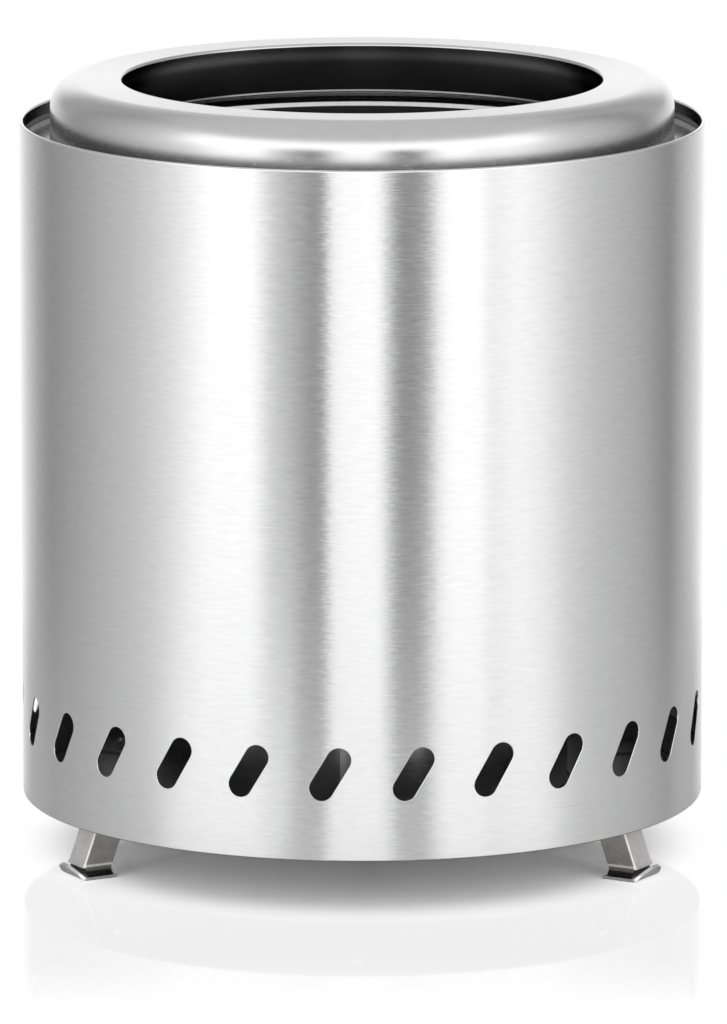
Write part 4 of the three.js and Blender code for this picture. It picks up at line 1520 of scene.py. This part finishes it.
# Tent's wall: stops of (degrees from the front towards +X, brightness)
TENT_STOPS = (
    (-180, 1.3), (-156, 0.76), (-140, 0.42), (-130, 0.31), (-110, 0.44), (-85, 0.66), (-65, 0.95),
    (-53, 1.4), (-37, 1.45), (-31, 0.72), (-24, 0.36), (-17, 0.1), (-13, 0.04), (-10.5, 1.3),
    (5.5, 1.45), (9.5, 0.5), (12.5, 0.05), (17, 0.05), (21.5, 0.2), (25.5, 1.1), (29, 1.45),
    (40, 1.45), (43.5, 1.08), (54, 1.28), (62, 1.1), (72, 0.88), (85, 0.68), (110, 0.47),
    (126, 0.27), (140, 0.56), (156, 0.83), (180, 1.3),
)


class FIREPIT_OT_stage(bpy.types.Operator):
    """Build the pale floor, the light tent and the camera"""

    bl_idname = "firepit.stage"
    bl_label = "Stage"

    def execute(self, context):
        self.build_floor(context)
        self.build_light(context)
        self.place_camera(context)
        context.scene.view_settings.view_transform = "Standard"
        return {"FINISHED"}

    def build_floor(self, context):
        size = context.scene.pit_studio
        floor = start_piece("floor", bpy.ops.mesh.primitive_circle_add, vertices=96,
                            radius=size.floor_radius, fill_type="NGON")
        material, tree = new_material("pale floor")
        place = place_of(tree)[0]
        straight = seen_directly(tree)
        mirrored = add_node(tree, "ShaderNodeLightPath").outputs["Is Glossy Ray"]
        clear = ease(tree, vector_math(tree, "LENGTH", place), *CLEAR_FLOOR)
        glossy = calculate(tree, "MULTIPLY", mirrored, clear)
        # Painted shadow: near the axis the floor that steel mirrors is darker
        shadowed = calculate(tree, "SUBTRACT", mirrored, glossy)
        # Painted reflections of the dark cards on the floor, seen only in the steel
        cards = calculate(tree, "MULTIPLY", glossy, self.painted_card_reflections(tree, place))
        lit = weighted(tree, FLOOR_TONE, (cards, CARD_TONE), (shadowed, SHADOWED_TONE),
                       (glossy, MIRRORED_TONE), (straight, SEEN_TONE))
        paint = add_node(tree, "ShaderNodeBsdfDiffuse", {"Color": grey(tree, lit)})
        white = add_node(tree, "ShaderNodeEmission", {"Color": (1, 1, 1, 1), "Strength": WHITE})
        stretched = vector_math(tree, "MULTIPLY", place, (1 / PAINTED_WIDTH, 1 / PAINTED_DEPTH, 0))
        beyond = ease(tree, vector_math(tree, "LENGTH", stretched), *PAINT_END)
        open_floor = calculate(tree, "MULTIPLY", straight, beyond)
        ground = self.mixed(tree, open_floor, paint, white)
        polish = add_node(tree, "ShaderNodeBsdfGlossy", {"Roughness": 0.04})
        shine = weighted(tree, remap(tree, glossy, 0, 1, *FLOOR_SHINE), (cards, CARD_SHINE))
        sides = add_node(tree, "ShaderNodeSeparateXYZ", {0: vector_math(tree, "ABSOLUTE", place)}).outputs
        far = ease(tree, calculate(tree, "MAXIMUM", sides[0], sides[1]), *FLOOR_FADE)
        fade = calculate(tree, "MULTIPLY", straight, far)
        surface = self.mixed(tree, fade, self.mixed(tree, shine, ground, polish), white)
        add_node(tree, "ShaderNodeOutputMaterial", {"Surface": surface.outputs[0]})
        floor.data.materials.append(material)

    def mixed(self, tree, part, one, other):
        """One shader, turned into the other by a part from 0 to 1."""
        return add_node(tree, "ShaderNodeMixShader", {0: part, 1: one.outputs[0], 2: other.outputs[0]})

    def painted_card_reflections(self, tree, place):
        """Where painted reflections of the tent's two dark front cards lie on the floor: 1 on a card, 0
        beside it.
        """
        across, ahead, _ = add_node(tree, "ShaderNodeSeparateXYZ", {0: place}).outputs
        azimuth = degrees_round(tree, across, ahead)

        def on_card(middle):
            off = calculate(tree, "ABSOLUTE", calculate(tree, "SUBTRACT", azimuth, middle))
            return ease(tree, off, *CARD_EDGE, 1, 0)

        return calculate(tree, "ADD", *(on_card(middle) for middle in CARD_MIDDLES))

    def build_light(self, context):
        """A round light tent: strip lamps, grey cards between them, a white back and a grey ceiling."""
        world = bpy.data.worlds.new("light tent")
        world.use_nodes = True
        tree = world.node_tree
        tree.nodes.clear()
        way = add_node(tree, "ShaderNodeTexCoord").outputs["Generated"]
        x, y, z = add_node(tree, "ShaderNodeSeparateXYZ", {0: way}).outputs
        azimuth = degrees_round(tree, x, y)
        turned = calculate(tree, "ABSOLUTE", azimuth)
        rise = calculate(tree, "MULTIPLY", calculate(tree, "ARCSINE", z), math.degrees(1))
        lamp_side = ease(tree, turned, *LAMP_SIDES, 1, 0)
        lamp = calculate(tree, "MULTIPLY", lamp_side, ease(tree, rise, *LAMP_FOOT))
        tent = self.blend(tree, self.tent_tone(tree, azimuth), LAMP_TONE, lamp)
        card_tone = ease(tree, rise, *BACK_CARD_RISE, *BACK_CARD_TONES)
        card = calculate(tree, "MULTIPLY", ease(tree, turned, *BACK_CARD_SIDES), card_tone)
        behind = calculate(tree, "MULTIPLY", ease(tree, turned, *BACK_SIDES), ease(tree, rise, *BACK_FOOT))
        wall = self.blend(tree, tent, calculate(tree, "ADD", card, BACK_TONE), behind)
        above = calculate(tree, "SUBTRACT", rise, remap(tree, turned, *WALL_TURN, *WALL_TOP))
        upper = self.blend(tree, wall, CEILING_TONE, ease(tree, above, *CEILING_EDGE))
        seen = seen_directly(tree)
        unseen = calculate(tree, "MULTIPLY", upper, calculate(tree, "SUBTRACT", 1.0, seen))
        light = add_node(tree, "ShaderNodeBackground", {
            "Color": (1, 1, 1, 1), "Strength": calculate(tree, "MAXIMUM", seen, unseen)})
        add_node(tree, "ShaderNodeOutputWorld", {"Surface": light.outputs[0]})
        context.scene.world = world

    def blend(self, tree, one, other, part):
        """One brightness, turned into the other by a part from 0 to 1."""
        return calculate(tree, "MULTIPLY_ADD", part, calculate(tree, "SUBTRACT", other, one), one)

    def tent_tone(self, tree, azimuth):
        """Brightness of the tent's wall, from its stops."""
        ramp = add_node(tree, "ShaderNodeValToRGB", {0: remap(tree, azimuth, -180, 180, 0, 1)})
        peak = max(brightness for _, brightness in TENT_STOPS)
        elements = ramp.color_ramp.elements
        elements.remove(elements[1])
        for index, (degrees, brightness) in enumerate(TENT_STOPS):
            position = (degrees + 180) / 360
            stop = elements[0] if index == 0 else elements.new(position)
            stop.position = position
            stop.color = (*(brightness / peak,) * 3, 1)
        return calculate(tree, "MULTIPLY", ramp.outputs[0], peak)

    def place_camera(self, context):
        size = context.scene.pit_studio
        camera = bpy.data.objects.new("camera", bpy.data.cameras.new("camera"))
        context.scene.collection.objects.link(camera)
        camera.location = (size.camera_side, -size.camera_distance, size.camera_height)
        camera.rotation_euler = (math.pi / 2 - size.camera_pitch, 0, 0)
        camera.data.lens = size.lens
        camera.data.clip_end = 100
        context.scene.camera = camera


BUILDERS = (
    FIREPIT_OT_stage,
    FIREPIT_OT_shell,
    FIREPIT_OT_ledge,
    FIREPIT_OT_ring,
    FIREPIT_OT_pot,
    FIREPIT_OT_grate,
    FIREPIT_OT_pan,
    FIREPIT_OT_base,
    FIREPIT_OT_legs,
    FIREPIT_OT_pads,
    FIREPIT_OT_brackets,
    FIREPIT_OT_fasteners,
)


class FIREPIT_PT_panel(bpy.types.Panel):
    """Lists the builders of the fire pit's pieces."""

    bl_idname = "FIREPIT_PT_panel"
    bl_label = "Fire pit"
    bl_space_type = "VIEW_3D"
    bl_region_type = "UI"
    bl_category = "Fire pit"

    def draw(self, context):
        for builder in BUILDERS:
            self.layout.operator(builder.bl_idname)


def register():
    for kind in (*SETTINGS.values(), *BUILDERS, FIREPIT_PT_panel):
        bpy.utils.register_class(kind)
    for name, group in SETTINGS.items():
        setattr(bpy.types.Scene, name, PointerProperty(type=group))


def unregister():
    for name in SETTINGS:
        delattr(bpy.types.Scene, name)
    for kind in reversed((*SETTINGS.values(), *BUILDERS, FIREPIT_PT_panel)):
        bpy.utils.unregister_class(kind)


def main():
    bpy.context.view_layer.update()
    register()
    for builder in BUILDERS:
        group, name = builder.bl_idname.split(".")
        getattr(getattr(bpy.ops, group), name)()


if __name__ == "__main__":
    main()
